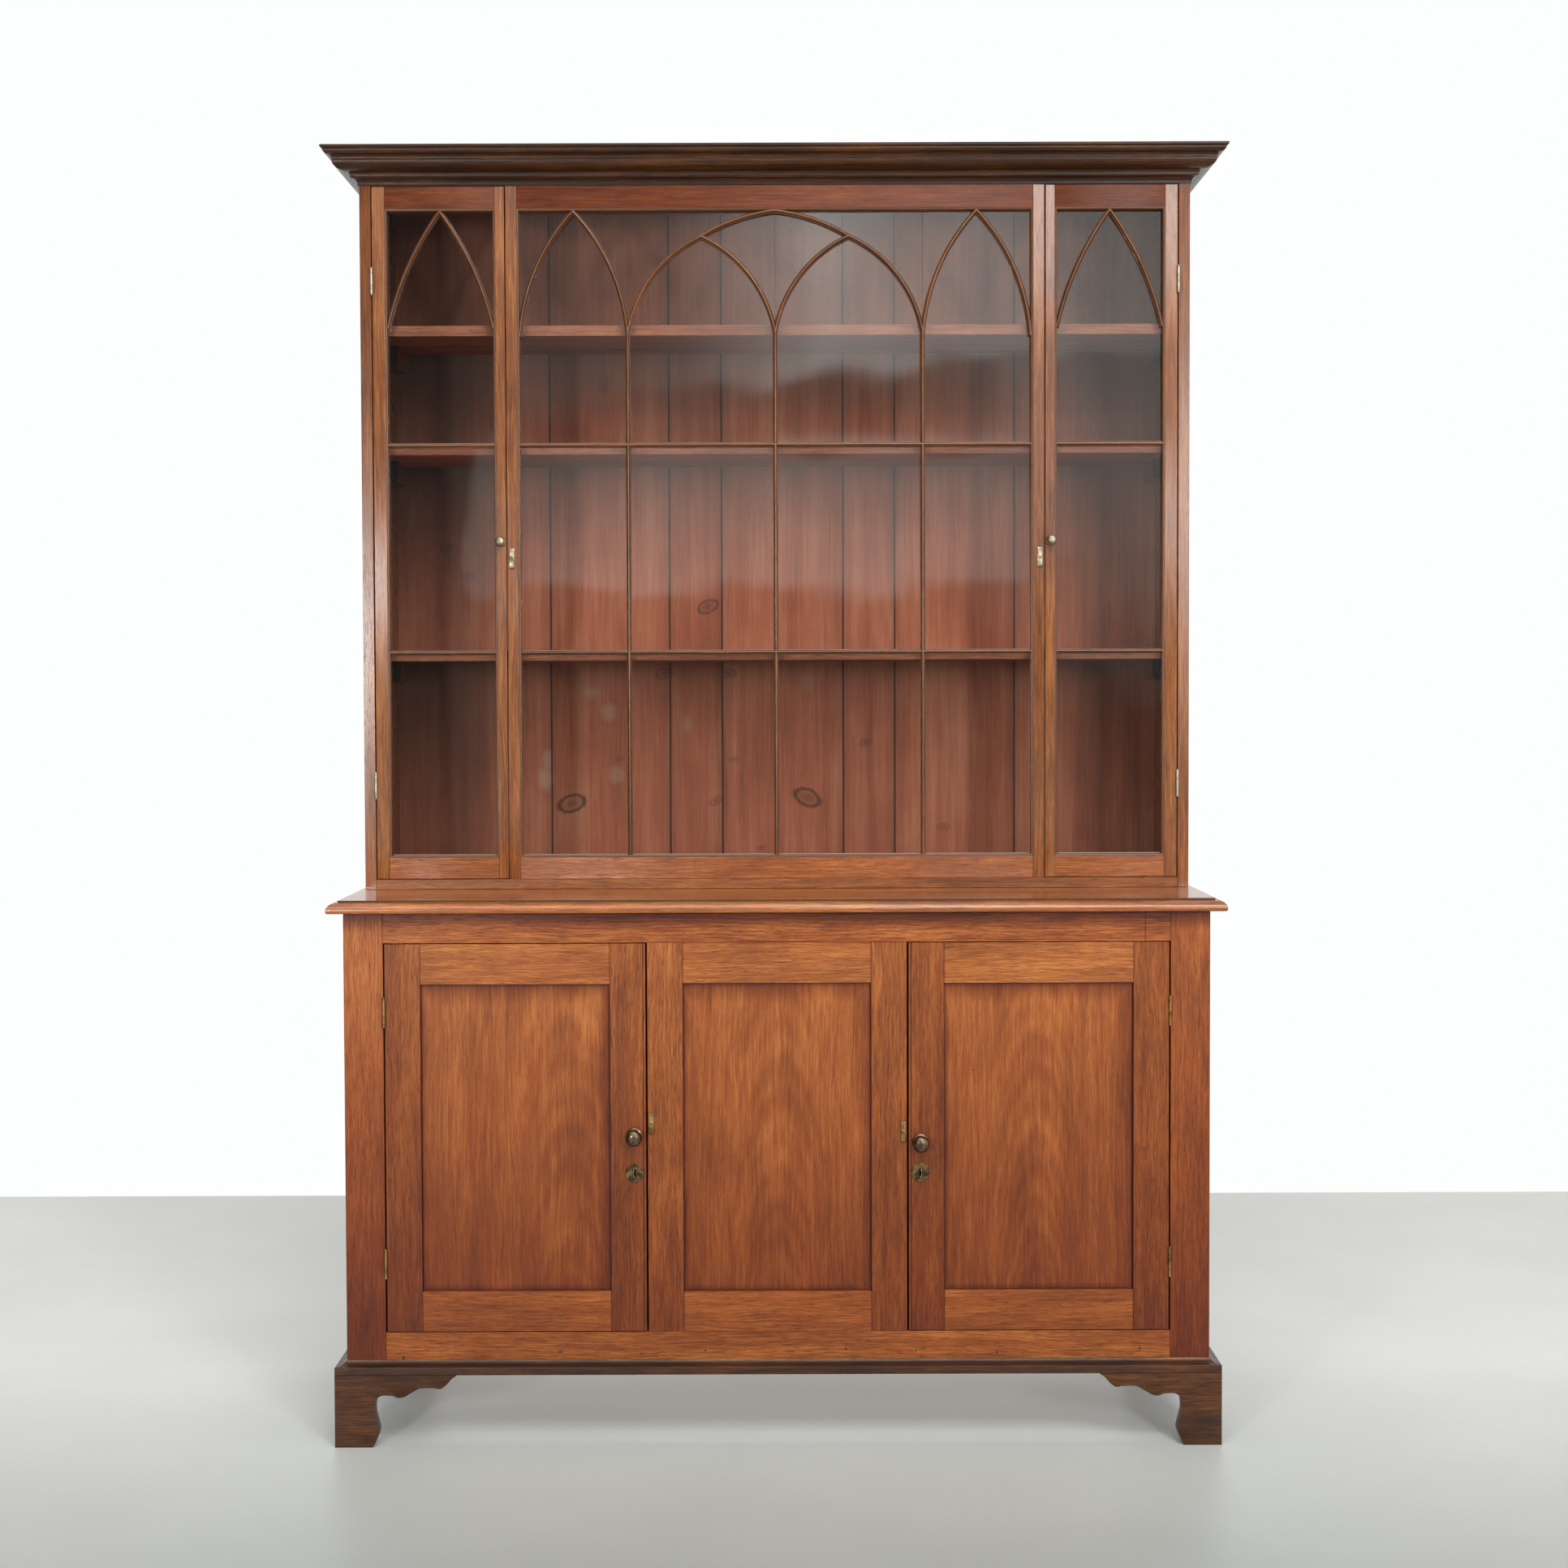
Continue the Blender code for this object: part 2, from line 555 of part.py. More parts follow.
def hinge(name, x, face, z, length, side, gap):
    """A butt hinge's barrel with its pin tips, and the leaf that is screwed to the carcase."""
    barrel = rod(name, (x, face - PIN_AHEAD, z), BARREL_RADIUS, length, (0, 0, 1), 14)
    pin = rod("pin", (x, face - PIN_AHEAD, z), BARREL_RADIUS / 2, length + PIN_TIP * 2,
              (0, 0, 1), 10, TOOLS)
    fixed = x + side * (gap / 2 - SEAT)
    free = fixed - side * LEAF_THICKNESS
    leaf = box("leaf", (min(fixed, free), face - PIN_AHEAD, z - length / 2),
               (max(fixed, free), face + LEAF_DEPTH, z + length / 2), collection=TOOLS)
    paint(combine(barrel, "UNION", [pin, leaf]), "brass")


def hang(name, place, pieces):
    """Put an empty on a joint's axis and parent pieces to it without moving them."""
    axis = bpy.data.objects.new(name, None)
    axis.location = place
    PARTS.objects.link(axis)
    for piece in pieces:
        piece.parent = axis
        piece.location -= axis.location


def keyhole(x, face, z, depth):
    """Cutter for a keyhole through the plate and the stile."""
    return box("keyhole", (x - KEYHOLE_WIDTH / 2, face - OVERRUN, z - KEYHOLE_HEIGHT / 2),
               (x + KEYHOLE_WIDTH / 2, face + depth, z + KEYHOLE_HEIGHT / 2), collection=TOOLS)


def lock(label, side, edge, z):
    """Lock case let into the back of the meeting stile, and its bolt, drawn back."""
    rear = FRONT + LOWER_DOOR_THICKNESS
    outer = edge - side * SEAT
    inner = outer - side * LOCK_WIDTH
    case = box(f"lock_case_{label}", (min(outer, inner), rear - LOCK_THICKNESS,
               z - LOCK_LENGTH / 2), (max(outer, inner), rear, z + LOCK_LENGTH / 2))
    middle = rear - LOCK_THICKNESS / 2
    tip = outer - side * SEAT
    tail = tip - side * BOLT_LENGTH
    slot_end = tail - side * SEAT
    slot_tip = outer + side * OVERRUN
    slot = box("slot", (min(slot_tip, slot_end), middle - BOLT_THICKNESS / 2 - SEAT,
               z - BOLT_HEIGHT / 2 - SEAT), (max(slot_tip, slot_end),
               middle + BOLT_THICKNESS / 2 + SEAT, z + BOLT_HEIGHT / 2 + SEAT), collection=TOOLS)
    paint(combine(case, "DIFFERENCE", [slot]), "iron")
    bolt = box(f"lock_bolt_{label}", (min(tip, tail), middle - BOLT_THICKNESS / 2,
               z - BOLT_HEIGHT / 2), (max(tip, tail), middle + BOLT_THICKNESS / 2,
               z + BOLT_HEIGHT / 2))
    paint(bolt, "brass")
    return case, bolt


def lock_recess(side, edge, z):
    """Cutter for the place of the lock case in the back of the stile."""
    rear = FRONT + LOWER_DOOR_THICKNESS
    outer = edge + side * OVERRUN
    inner = edge - side * (LOCK_WIDTH + SEAT * 2)
    return box("recess", (min(outer, inner), rear - LOCK_THICKNESS - SEAT,
               z - LOCK_LENGTH / 2 - SEAT), (max(outer, inner), rear + OVERRUN,
               z + LOCK_LENGTH / 2 + SEAT), collection=TOOLS)


def bolt_mortise(side, edge, z):
    """Cutter for the mortise in the fixed frame that the bolt is thrown into."""
    middle = FRONT + LOWER_DOOR_THICKNESS - LOCK_THICKNESS / 2
    mouth = edge - side * OVERRUN
    deep = edge + side * (BOLT_THROW + BOLT_ROOM)
    half_thick = BOLT_THICKNESS / 2 + BOLT_ROOM
    half_high = BOLT_HEIGHT / 2 + BOLT_ROOM
    return box("mortise", (min(mouth, deep), middle - half_thick, z - half_high),
               (max(mouth, deep), middle + half_thick, z + half_high), collection=TOOLS)


def lock_plate(label, x, z):
    """Round escutcheon plate with its keyhole."""
    plate_piece = rod(f"escutcheon_{label}", (x, FRONT - SEAT - PLATE_THICKNESS / 2, z),
                      PLATE_RADIUS, PLATE_THICKNESS, (0, 1, 0), 32)
    combine(plate_piece, "DIFFERENCE", [keyhole(x, FRONT - PLATE_THICKNESS, z, OVERRUN)])
    paint(plate_piece, "brass")
    return plate_piece


def lower_centre():
    """Fixed frame between the cupboard doors, with the two lower turn catches."""
    edge = LOWER_CENTRE_WIDTH / 2
    extra = []
    for (label, side), z in zip(SIDES, CATCH_PLACES):
        x = side * (edge - LOWER_CATCH_INSET)
        hang(f"lower_catch_{label}_pivot", (x, FRONT, z),
             [catch(f"lower_catch_{label}", x, FRONT, z)])
        extra.append(shank_hole(x, FRONT, z, CATCH_SHANK_RADIUS, CATCH_SHANK_DEPTH))
        extra.append(bolt_mortise(-side, side * edge, LOCK_PLACE))
    panelled("base_centre_frame", "base_centre_panel",
             (-edge, FRONT, CUPBOARD_FLOOR + SEAT),
             (edge, FRONT + LOWER_DOOR_THICKNESS, TOP_RAIL_FOOT - SEAT), extra)


def lower_doors():
    """The two cupboard doors with their panels, knobs, locks, plates and hinges."""
    opening = HALF_WIDTH - BASE_STILE_WIDTH
    for (label, side), knob_z in zip(SIDES, KNOB_PLACES):
        hung = side * (opening - LOWER_HINGE_GAP)
        meeting = side * (LOWER_CENTRE_WIDTH / 2 + LOWER_MEETING_GAP)
        low = (min(hung, meeting), FRONT, LOWER_DOOR_FOOT)
        high = (max(hung, meeting), FRONT + LOWER_DOOR_THICKNESS, LOWER_DOOR_HEAD)
        knob_x = meeting + side * LOWER_KNOB_INSET
        extra = [edge_bead(meeting, -side, FRONT, LOWER_DOOR_FOOT, LOWER_DOOR_HEAD),
                 shank_hole(knob_x, FRONT, knob_z, LOWER_KNOB_RADIUS * KNOB_SHANK_SHARE,
                            KNOB_SHANK_DEPTH),
                 lock_recess(-side, meeting, LOCK_PLACE),
                 keyhole(knob_x, FRONT, LOCK_PLACE, LOWER_DOOR_THICKNESS - LOCK_THICKNESS + OVERRUN)]
        frame, panel = panelled(f"base_door_{label}_frame", f"base_door_{label}_panel", low, high,
                                extra)
        pull = knob(f"base_door_{label}_knob", knob_x, FRONT, knob_z, LOWER_KNOB_RADIUS,
                    LOWER_KNOB_REACH)
        paint(pull, "bronze")
        cover = lock_plate(label, knob_x, LOCK_PLACE)
        case, bolt = lock(label, -side, meeting, LOCK_PLACE)
        pin_x = side * (opening - LOWER_HINGE_GAP / 2)
        hang(f"base_door_{label}_hinge_axis", (pin_x, FRONT - PIN_AHEAD, 0),
             [frame, panel, pull, cover, case, bolt])
        for level, z in (("low", LOWER_DOOR_FOOT + LOWER_HINGE_INSET),
                         ("high", LOWER_DOOR_HEAD - LOWER_HINGE_INSET)):
            hinge(f"base_hinge_{label}_{level}", pin_x, FRONT, z, LOWER_HINGE_LENGTH, side,
                  LOWER_HINGE_GAP)


def case_carcase():
    """Sides with their shelf bearers, floor, top, back and the three shelves of the case."""
    inside = CASE_INSIDE - SEAT
    back_face = BACK - CASE_BACK_BOARD
    shelf_front = CASE_FRONT + UPPER_DOOR_THICKNESS + SHELF_SETBACK
    shelves = (("lower", LOW_SHELF_HEIGHT), ("middle", MIDDLE_SHELF_HEIGHT),
               ("upper", HIGH_SHELF_HEIGHT))
    for label, side in SIDES:
        outer, inner = side * HALF_WIDTH, side * CASE_INSIDE
        board = box(f"case_side_{label}", (min(outer, inner), CASE_FRONT, CASE_FOOT + SEAT),
                    (max(outer, inner), BACK, CASE_CEILING + CASE_SIDE_RISE), EASED_EDGE)
        root, tip = inner + side * OVERRUN, inner - side * BEARER_THICKNESS
        bearers = []
        for _, height in shelves:
            rest = CASE_FLOOR + height - SHELF_THICKNESS - SEAT
            bearers.append(box("bearer", (min(root, tip), shelf_front + CASE_BEARER_SETBACK,
                           rest - BEARER_HEIGHT), (max(root, tip), back_face - SEAT, rest),
                           collection=TOOLS))
        paint(combine(board, "UNION", bearers), "mahogany")
    paint(box("case_bottom", (-inside, CASE_FRONT, CASE_FOOT + SEAT), (inside, BACK, CASE_FLOOR),
              EASED_EDGE), "mahogany")
    paint(box("case_top", (-inside, CASE_FRONT, CASE_CEILING),
              (inside, BACK, CASE_CEILING + CASE_BOARD), EASED_EDGE), "mahogany")
    for label, height in shelves:
        top = CASE_FLOOR + height
        paint(box(f"shelf_{label}", (-inside, shelf_front, top - SHELF_THICKNESS),
                  (inside, back_face - SEAT, top), EASED_EDGE), "mahogany")
    back = box("case_back", (-inside, back_face, CASE_FLOOR + SEAT),
               (inside, BACK, CASE_CEILING - SEAT))
    grooves = []
    for share in BACK_BOARD_SHARES:
        x = -inside + share * 2 * inside
        grooves.append(box("groove", (x - BACK_GROOVE_WIDTH / 2, back_face - OVERRUN,
                       CASE_FLOOR - OVERRUN), (x + BACK_GROOVE_WIDTH / 2,
                       back_face + BACK_GROOVE_DEPTH, CASE_CEILING + OVERRUN), collection=TOOLS))
    paint(combine(back, "DIFFERENCE", grooves), "stained pine")


def bowed_bar(start, end, bow_share, bulge):
    """A curved glazing bar between two points: a circular arc whose bow is a share of its chord.

    bulge is 1 where the bow lies to the left of the line from start to end, and -1 to its right.
    """
    start, end = Vector(start), Vector(end)
    chord = end - start
    bow = chord.length * bow_share
    radius = chord.length ** 2 / (8 * bow) + bow / 2
    left = Vector((-chord.y, chord.x)).normalized()
    centre = (start + end) / 2 + left * bulge * (bow - radius)
    first, last = start - centre, end - centre
    sweep = math.atan2(first.x * last.y - first.y * last.x, first.dot(last))
    outline = []
    for reach, order in ((radius + BAR_WIDTH / 2, range(ARC_PIECES + 1)),
                         (radius - BAR_WIDTH / 2, range(ARC_PIECES, -1, -1))):
        for step in order:
            turn = Matrix.Rotation(sweep * step / ARC_PIECES, 2)
            outline.append(tuple(centre + (turn @ first).normalized() * reach))
    return outline


def straight_bar(low, high):
    """A straight glazing bar of the case, between two points (sideways, height)."""
    return box("bar", (low[0], CASE_FRONT, low[1]), (high[0], CASE_FRONT + BAR_DEPTH, high[1]),
               collection=TOOLS)


def curved_bars(arcs):
    """Solid bars for a list of arcs: (start, end, bow share, bulge)."""
    middle = CASE_FRONT + BAR_DEPTH / 2
    return [plate("arc", bowed_bar(*arc), middle, BAR_DEPTH, collection=TOOLS) for arc in arcs]


def lancet(left, right, foot, head, bow_share):
    """The two arcs of a pointed arch between two uprights."""
    crown = ((left + right) / 2, head)
    return [((left, foot), crown, bow_share, 1), ((right, foot), crown, bow_share, -1)]


def splay(low, high, face):
    """Cutter that slopes the edge round the glass: a block that widens towards the front."""
    cutter = box("splay", (low[0], face - OVERRUN, low[1]),
                 (high[0], face + SIGHT_SPLAY + OVERRUN, high[1]), collection=TOOLS)
    for corner in cutter.data.vertices:
        if corner.co.y < 0:
            grow = SIGHT_SPLAY + OVERRUN
        else:
            grow = -OVERRUN
        corner.co.x += math.copysign(grow, corner.co.x)
        corner.co.z += math.copysign(grow, corner.co.z)
    return cutter


def glazed(name, glass_name, low, high, stiles, uprights, arcs, extra):
    """A frame for glass: a splayed and rebated ring, its straight bars, its arcs and its glass."""
    sight_low = (low[0] + stiles[0], GLASS_FOOT)
    sight_high = (high[0] - stiles[1], GLASS_HEAD)
    rebate = box("rebate", (sight_low[0] - GLASS_REBATE, CASE_FRONT + BAR_DEPTH,
                 sight_low[1] - GLASS_REBATE), (sight_high[0] + GLASS_REBATE,
                 high[1] + OVERRUN, sight_high[1] + GLASS_REBATE), collection=TOOLS)
    frame = framed(name, low, high, stiles, (UPPER_BOTTOM_RAIL, UPPER_TOP_RAIL),
                   [splay(sight_low, sight_high, low[1]), rebate] + extra)
    half = BAR_WIDTH / 2
    bars = []
    for height in BAR_HEIGHTS:
        bars.append(straight_bar((sight_low[0] - SIGHT_SPLAY, height - half),
                                 (sight_high[0] + SIGHT_SPLAY, height + half)))
    for x, head in uprights:
        bars.append(straight_bar((x - half, sight_low[1] - SIGHT_SPLAY), (x + half, head)))
    combine(frame, "UNION", bars + curved_bars(arcs))
    paint(frame, "mahogany")
    reach = GLASS_REBATE - SEAT
    face = CASE_FRONT + BAR_DEPTH + SEAT
    glass = box(glass_name, (sight_low[0] - reach, face, sight_low[1] - reach),
                (sight_high[0] + reach, face + GLASS_THICKNESS, sight_high[1] + reach))
    paint(glass, "glass")
    return frame, glass


def upper_centre():
    """Fixed glazed frame with its crossing arches, and the two upper turn catches."""
    edge = UPPER_CENTRE_WIDTH / 2
    sight = edge - CENTRE_STILE
    end_foot = GLASS_HEAD - END_ARCH_DROP
    middle_foot = GLASS_HEAD - MIDDLE_ARCH_DROP
    crossing = GLASS_HEAD - CROSSING_DROP
    arcs = []
    for side in (-1, 1):
        inner, outer = side * CENTRE_BAR_PITCH, side * sight
        arcs += lancet(min(inner, outer), max(inner, outer), end_foot, GLASS_HEAD,
                       END_ARCH_BOW_SHARE)
        arcs += lancet(min(inner, 0), max(inner, 0), middle_foot, crossing,
                       MIDDLE_ARCH_BOW_SHARE)
        arcs.append(((inner / 2, crossing), (0, GLASS_HEAD), CROWN_BOW_SHARE, -side))
    uprights = [(x, middle_foot + BAR_WIDTH) for x in (-CENTRE_BAR_PITCH, 0, CENTRE_BAR_PITCH)]
    extra = []
    z = UPPER_KNOB_PLACE - UPPER_CATCH_DROP
    for label, side in SIDES:
        x = side * (edge - UPPER_CATCH_INSET)
        hang(f"upper_catch_{label}_pivot", (x, CASE_FRONT, z),
             [catch(f"upper_catch_{label}", x, CASE_FRONT, z)])
        extra.append(shank_hole(x, CASE_FRONT, z, CATCH_SHANK_RADIUS, CATCH_SHANK_DEPTH))
    glazed("case_centre_frame", "case_centre_glass", (-edge, CASE_FRONT, CASE_FLOOR + SEAT),
           (edge, CASE_FRONT + UPPER_DOOR_THICKNESS, CASE_CEILING - SEAT),
           (CENTRE_STILE, CENTRE_STILE), uprights, arcs, extra)


def upper_doors():
    """The two glazed doors with their knobs and hinges."""
    for label, side in SIDES:
        hung = side * (CASE_INSIDE - UPPER_HINGE_GAP)
        meeting = side * (UPPER_CENTRE_WIDTH / 2 + UPPER_MEETING_GAP)
        low = (min(hung, meeting), CASE_FRONT, UPPER_DOOR_FOOT)
        high = (max(hung, meeting), CASE_FRONT + UPPER_DOOR_THICKNESS, UPPER_DOOR_HEAD)
        stiles = (HINGE_STILE, MEETING_STILE) if side < 0 else (MEETING_STILE, HINGE_STILE)
        arcs = lancet(low[0] + stiles[0], high[0] - stiles[1], GLASS_HEAD - DOOR_ARCH_DROP,
                      GLASS_HEAD, DOOR_ARCH_BOW_SHARE)
        knob_x = meeting + side * UPPER_KNOB_INSET
        extra = [shank_hole(knob_x, CASE_FRONT, UPPER_KNOB_PLACE,
                            UPPER_KNOB_RADIUS * KNOB_SHANK_SHARE,
                            KNOB_SHANK_DEPTH)]
        frame, glass = glazed(f"glass_door_{label}_frame", f"glass_door_{label}_glass", low, high,
                              stiles, [], arcs, extra)
        pull = knob(f"glass_door_{label}_knob", knob_x, CASE_FRONT, UPPER_KNOB_PLACE,
                    UPPER_KNOB_RADIUS, UPPER_KNOB_REACH)
        paint(pull, "brass")
        pin_x = side * (CASE_INSIDE - UPPER_HINGE_GAP / 2)
        hang(f"glass_door_{label}_hinge_axis", (pin_x, CASE_FRONT - PIN_AHEAD, 0),
             [frame, glass, pull])
        for level, z in (("low", UPPER_DOOR_FOOT + UPPER_HINGE_INSET),
                         ("high", UPPER_DOOR_HEAD - UPPER_HINGE_INSET)):
            hinge(f"case_hinge_{label}_{level}", pin_x, CASE_FRONT, z, UPPER_HINGE_LENGTH, side,
                  UPPER_HINGE_GAP)


def cornice():
    """Cornice round the head of the case: ovolo, bead, great hollow, ogee and top fillet."""
    moulding_shares = (((0.04, 0), None), ((0.04, 0.04), None), ((0.19, 0.19), "round"),
                       ((0.23, 0.20), None), ((0.23, 0.24), None), ((0.30, 0.35), "round"),
                       ((0.70, 0.61), "hollow"), ((0.70, 0.65), None), ((0.80, 0.76), "round"),
                       ((0.93, 0.88), "hollow"), ((0.93, 0.91), None), ((1, 0.93), None),
                       ((1, 1), None))
    profile = []
    for (out, up), curve in moulding_shares:
        corner = (CORNICE_REACH * out, CORNICE_HEIGHT * up)
        profile += quarter(profile[-1], corner, curve == "round") if curve else [corner]
    piece = moulded_block("cornice", HALF_WIDTH, CASE_FRONT, BACK, CASE_CEILING, profile)
    core = box("core", (-HALF_WIDTH - SEAT, CASE_FRONT - SEAT, CASE_FOOT),
               (HALF_WIDTH + SEAT, BACK + OVERRUN, CASE_CEILING + CORNICE_HEIGHT + OVERRUN),
               collection=TOOLS)
    paint(combine(piece, "DIFFERENCE", [core]), "dark mahogany")


feet()
plinth()
base_carcase()
base_top()
lower_centre()
lower_doors()
case_carcase()
upper_centre()
upper_doors()
cornice()
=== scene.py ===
# %% [markdown]
# # A mahogany bookcase, dressed for its picture
# The solids of the bookcase come in as a fixed frame, in metres, with the front facing -Y and
# the floor at z = 0. This file keeps every solid whose shape is right and gives it a better
# finish, and it makes again, as finer surfaces, what a cabinet maker shapes by hand: mouldings,
# glazing bars, feet and brasses. It could all be one mesh, but separate pieces open and close
# with their doors, so each piece rides on a body of the frame.

# %% Load the solids
import math

import bmesh
import bpy
import numpy as np
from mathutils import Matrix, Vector


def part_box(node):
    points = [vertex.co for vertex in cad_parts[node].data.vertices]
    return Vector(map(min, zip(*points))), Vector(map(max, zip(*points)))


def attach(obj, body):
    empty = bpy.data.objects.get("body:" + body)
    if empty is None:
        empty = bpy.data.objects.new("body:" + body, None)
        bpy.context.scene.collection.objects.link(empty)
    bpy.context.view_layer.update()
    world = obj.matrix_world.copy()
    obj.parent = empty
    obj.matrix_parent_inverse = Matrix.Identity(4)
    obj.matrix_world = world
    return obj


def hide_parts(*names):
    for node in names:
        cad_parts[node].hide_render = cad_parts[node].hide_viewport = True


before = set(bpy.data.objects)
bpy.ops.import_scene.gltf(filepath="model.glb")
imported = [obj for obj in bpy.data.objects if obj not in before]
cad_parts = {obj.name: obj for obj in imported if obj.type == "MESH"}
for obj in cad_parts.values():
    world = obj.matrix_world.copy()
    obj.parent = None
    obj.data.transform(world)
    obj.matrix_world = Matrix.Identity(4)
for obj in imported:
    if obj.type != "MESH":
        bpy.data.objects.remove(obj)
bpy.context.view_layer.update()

# %% [markdown]
# ## Places taken from the solids
# Faces, heights and widths are read from the boxes of the solids, so that a finer piece sits
# exactly where its plain one does. Sections of mouldings are given in millimetres.

# %% Faces and sizes
MM = 0.001
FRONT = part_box("base_stile_left")[0].y
CASE_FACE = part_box("case_side_left")[0].y
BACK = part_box("base_back")[1].y
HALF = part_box("case_side_right")[1].x
BAR_WIDTH = 8.5 * MM
GLASS_DEPTH = 12.5 * MM
CLEARANCE = 0.3 * MM
SIDES = (("left", -1), ("right", 1))
LEVELS = ("lower", "middle", "upper")
# creases of plain boards stay sharp from this many degrees, so that their faces look flat
BOARD_CREASE = 20
print("front", round(FRONT, 4), "case face", round(CASE_FACE, 4), "back", round(BACK, 4))


# %% [markdown]
# ## From arrays to pieces
# Almost everything here is an outline carried along a path. The outline has K points, the path
# has T stations, and all T x K corners are worked out at once as one array. Neighbouring
# corners make four-sided faces, and both ends get a lid. Modelling by hand or booleans could
# give the same forms, but arrays keep each formula readable in one place.

# %% Skins and pieces
def skin(sections):
    """Corners and faces of a closed outline carried along stations: sections[t, k] is a point.

    Face (t, k) joins points k and k + 1 of stations t and t + 1, and the last outline point
    joins the first. Both ends are closed by a lid.
    """
    stations, count = sections.shape[:2]
    t, k = np.meshgrid(np.arange(stations - 1), np.arange(count), indexing="ij")
    after = (k + 1) % count
    quads = np.stack([t * count + k, t * count + after, (t + 1) * count + after,
                      (t + 1) * count + k], axis=-1).reshape(-1, 4)
    lids = [list(range(count)), list(range((stations - 1) * count, stations * count))]
    return sections.reshape(-1, 3), quads.tolist() + lids


def joined(skins):
    """Several skins as one: corners are stacked, and face numbers moved on by those before."""
    starts = np.cumsum([0] + [len(corners) for corners, _ in skins])
    corners = np.concatenate([corners for corners, _ in skins])
    faces = [[int(number + start) for number in face]
             for (_, part), start in zip(skins, starts) for face in part]
    return corners, faces


def together(parts):
    """Several pairs of (skin, board places) as one pair."""
    return joined([part[0] for part in parts]), np.concatenate([part[1] for part in parts])


def piece(name, body, slot, look, shape, grain=None, crease=34, replaces=()):
    """A finished piece: merged poles, outward faces, smooth up to the crease angle in degrees.

    grain holds each corner's place in its own board: along, across and through, in metres.
    """
    corners, faces = shape
    mesh = bpy.data.meshes.new(name)
    mesh.from_pydata(corners.tolist(), [], faces)
    if grain is not None:
        mesh.attributes.new("board", "FLOAT_VECTOR", "POINT")
        mesh.attributes["board"].data.foreach_set("vector", grain.astype(np.float32).ravel())
    draft = bmesh.new()
    draft.from_mesh(mesh)
    bmesh.ops.remove_doubles(draft, verts=draft.verts, dist=1e-6)
    bmesh.ops.recalc_face_normals(draft, faces=draft.faces)
    draft.to_mesh(mesh)
    draft.free()
    mesh.shade_smooth()
    mesh.set_sharp_from_angle(angle=math.radians(crease))
    mesh.materials.append(look)
    made = bpy.data.objects.new(name, mesh)
    bpy.context.scene.collection.objects.link(made)
    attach(made, body)
    if replaces:
        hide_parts(*replaces)
    print(name, len(mesh.polygons), "faces on", body)
    return made


# %% [markdown]
# ## Colour helper and node helpers
# Hex colours are written the way a screen shows them. The renderer adds light linearly, so one
# function undoes the screen's curve. Another single function adds any shader node, sets it and
# links it, which keeps each finish a readable list. The short ones after it name what the
# finishes do most often: a sum, a product, a change of range, a noise, a distance, a colour
# picked by a number and a colour laid over another.

# %% Colours and nodes
def paint(code):
    """A hex colour as linear light: above 0.04045, ((s + 0.055) / 1.055) to the power 2.4."""
    s = np.array([int(code[i:i + 2], 16) for i in (1, 3, 5)]) / 255
    return (*np.where(s > 0.04045, ((s + 0.055) / 1.055) ** 2.4, s / 12.92), 1.0)


def node(tree, kind, sockets=None, **settings):
    """Add one shader node. sockets gives values, or nodes and sockets to link, by name or place."""
    made = tree.nodes.new(kind)
    for name, value in settings.items():
        setattr(made, name, value)
    live = [s for s in made.inputs if s.enabled]
    for name, value in (sockets or {}).items():
        socket = live[name] if isinstance(name, int) else next(s for s in live if s.name == name)
        if isinstance(value, bpy.types.Node):
            value = next(s for s in value.outputs if s.enabled)
        if isinstance(value, bpy.types.NodeSocket):
            tree.links.new(value, socket)
        else:
            socket.default_value = value
    return made


def calc(tree, operation, *values):
    """One sum of numbers or sockets."""
    return node(tree, "ShaderNodeMath", dict(enumerate(values)), operation=operation)


def times(tree, product, *factors):
    """The product of several numbers or sockets, from left to right."""
    for factor in factors:
        product = calc(tree, "MULTIPLY", product, factor)
    return product


def scaled(tree, value, share, base):
    """The value times a share, plus a base."""
    return calc(tree, "MULTIPLY_ADD", value, share, base)


def spread(tree, value, low, high, to_low=0.0, to_high=1.0):
    """A number moved from one range to another, held at both ends."""
    return node(tree, "ShaderNodeMapRange", {"Value": value, "From Min": low, "From Max": high,
                                             "To Min": to_low, "To Max": to_high})


def noise(tree, place, scale, detail, rough=0.5):
    """Noise with scale features per metre, or per length of the piece's box without a place."""
    vector = {} if place is None else {"Vector": place}
    return node(tree, "ShaderNodeTexNoise", {**vector, "Scale": scale, "Detail": detail,
                                             "Roughness": rough})


def clouds(tree, place, scale, detail=2.0, rough=0.6):
    """Soft noise in a space stretched by scale, in features per metre."""
    return noise(tree, node(tree, "ShaderNodeVectorMath", {0: place, 1: scale},
                            operation="MULTIPLY"), 1.0, detail, rough)


def packed(tree, kind, *parts):
    """Two or three numbers as one vector, kind "XYZ", or as one colour, kind "Color"."""
    return node(tree, f"ShaderNodeCombine{kind}", dict(enumerate(parts)))


def length(tree, vector):
    """How long a vector is."""
    return node(tree, "ShaderNodeVectorMath", {0: vector}, operation="LENGTH").outputs["Value"]


def own_space(tree):
    """The place in the piece's own space: whole, then x, y and z."""
    spot = node(tree, "ShaderNodeTexCoord").outputs["Object"]
    return spot, *node(tree, "ShaderNodeSeparateXYZ", {0: spot}).outputs


def between(tree, share, low, high):
    """A number that is low where the share is 0, and high where it is 1."""
    return node(tree, "ShaderNodeMix", {"Factor": share, "A": low, "B": high}, data_type="FLOAT")


def bumped(tree, height, distance, strength):
    """A normal tilted by a height."""
    return node(tree, "ShaderNodeBump", {"Height": height, "Distance": distance,
                                         "Strength": strength})


def apart(tree, a, b):
    """How far two numbers or sockets are from each other."""
    return calc(tree, "ABSOLUTE", calc(tree, "SUBTRACT", a, b))


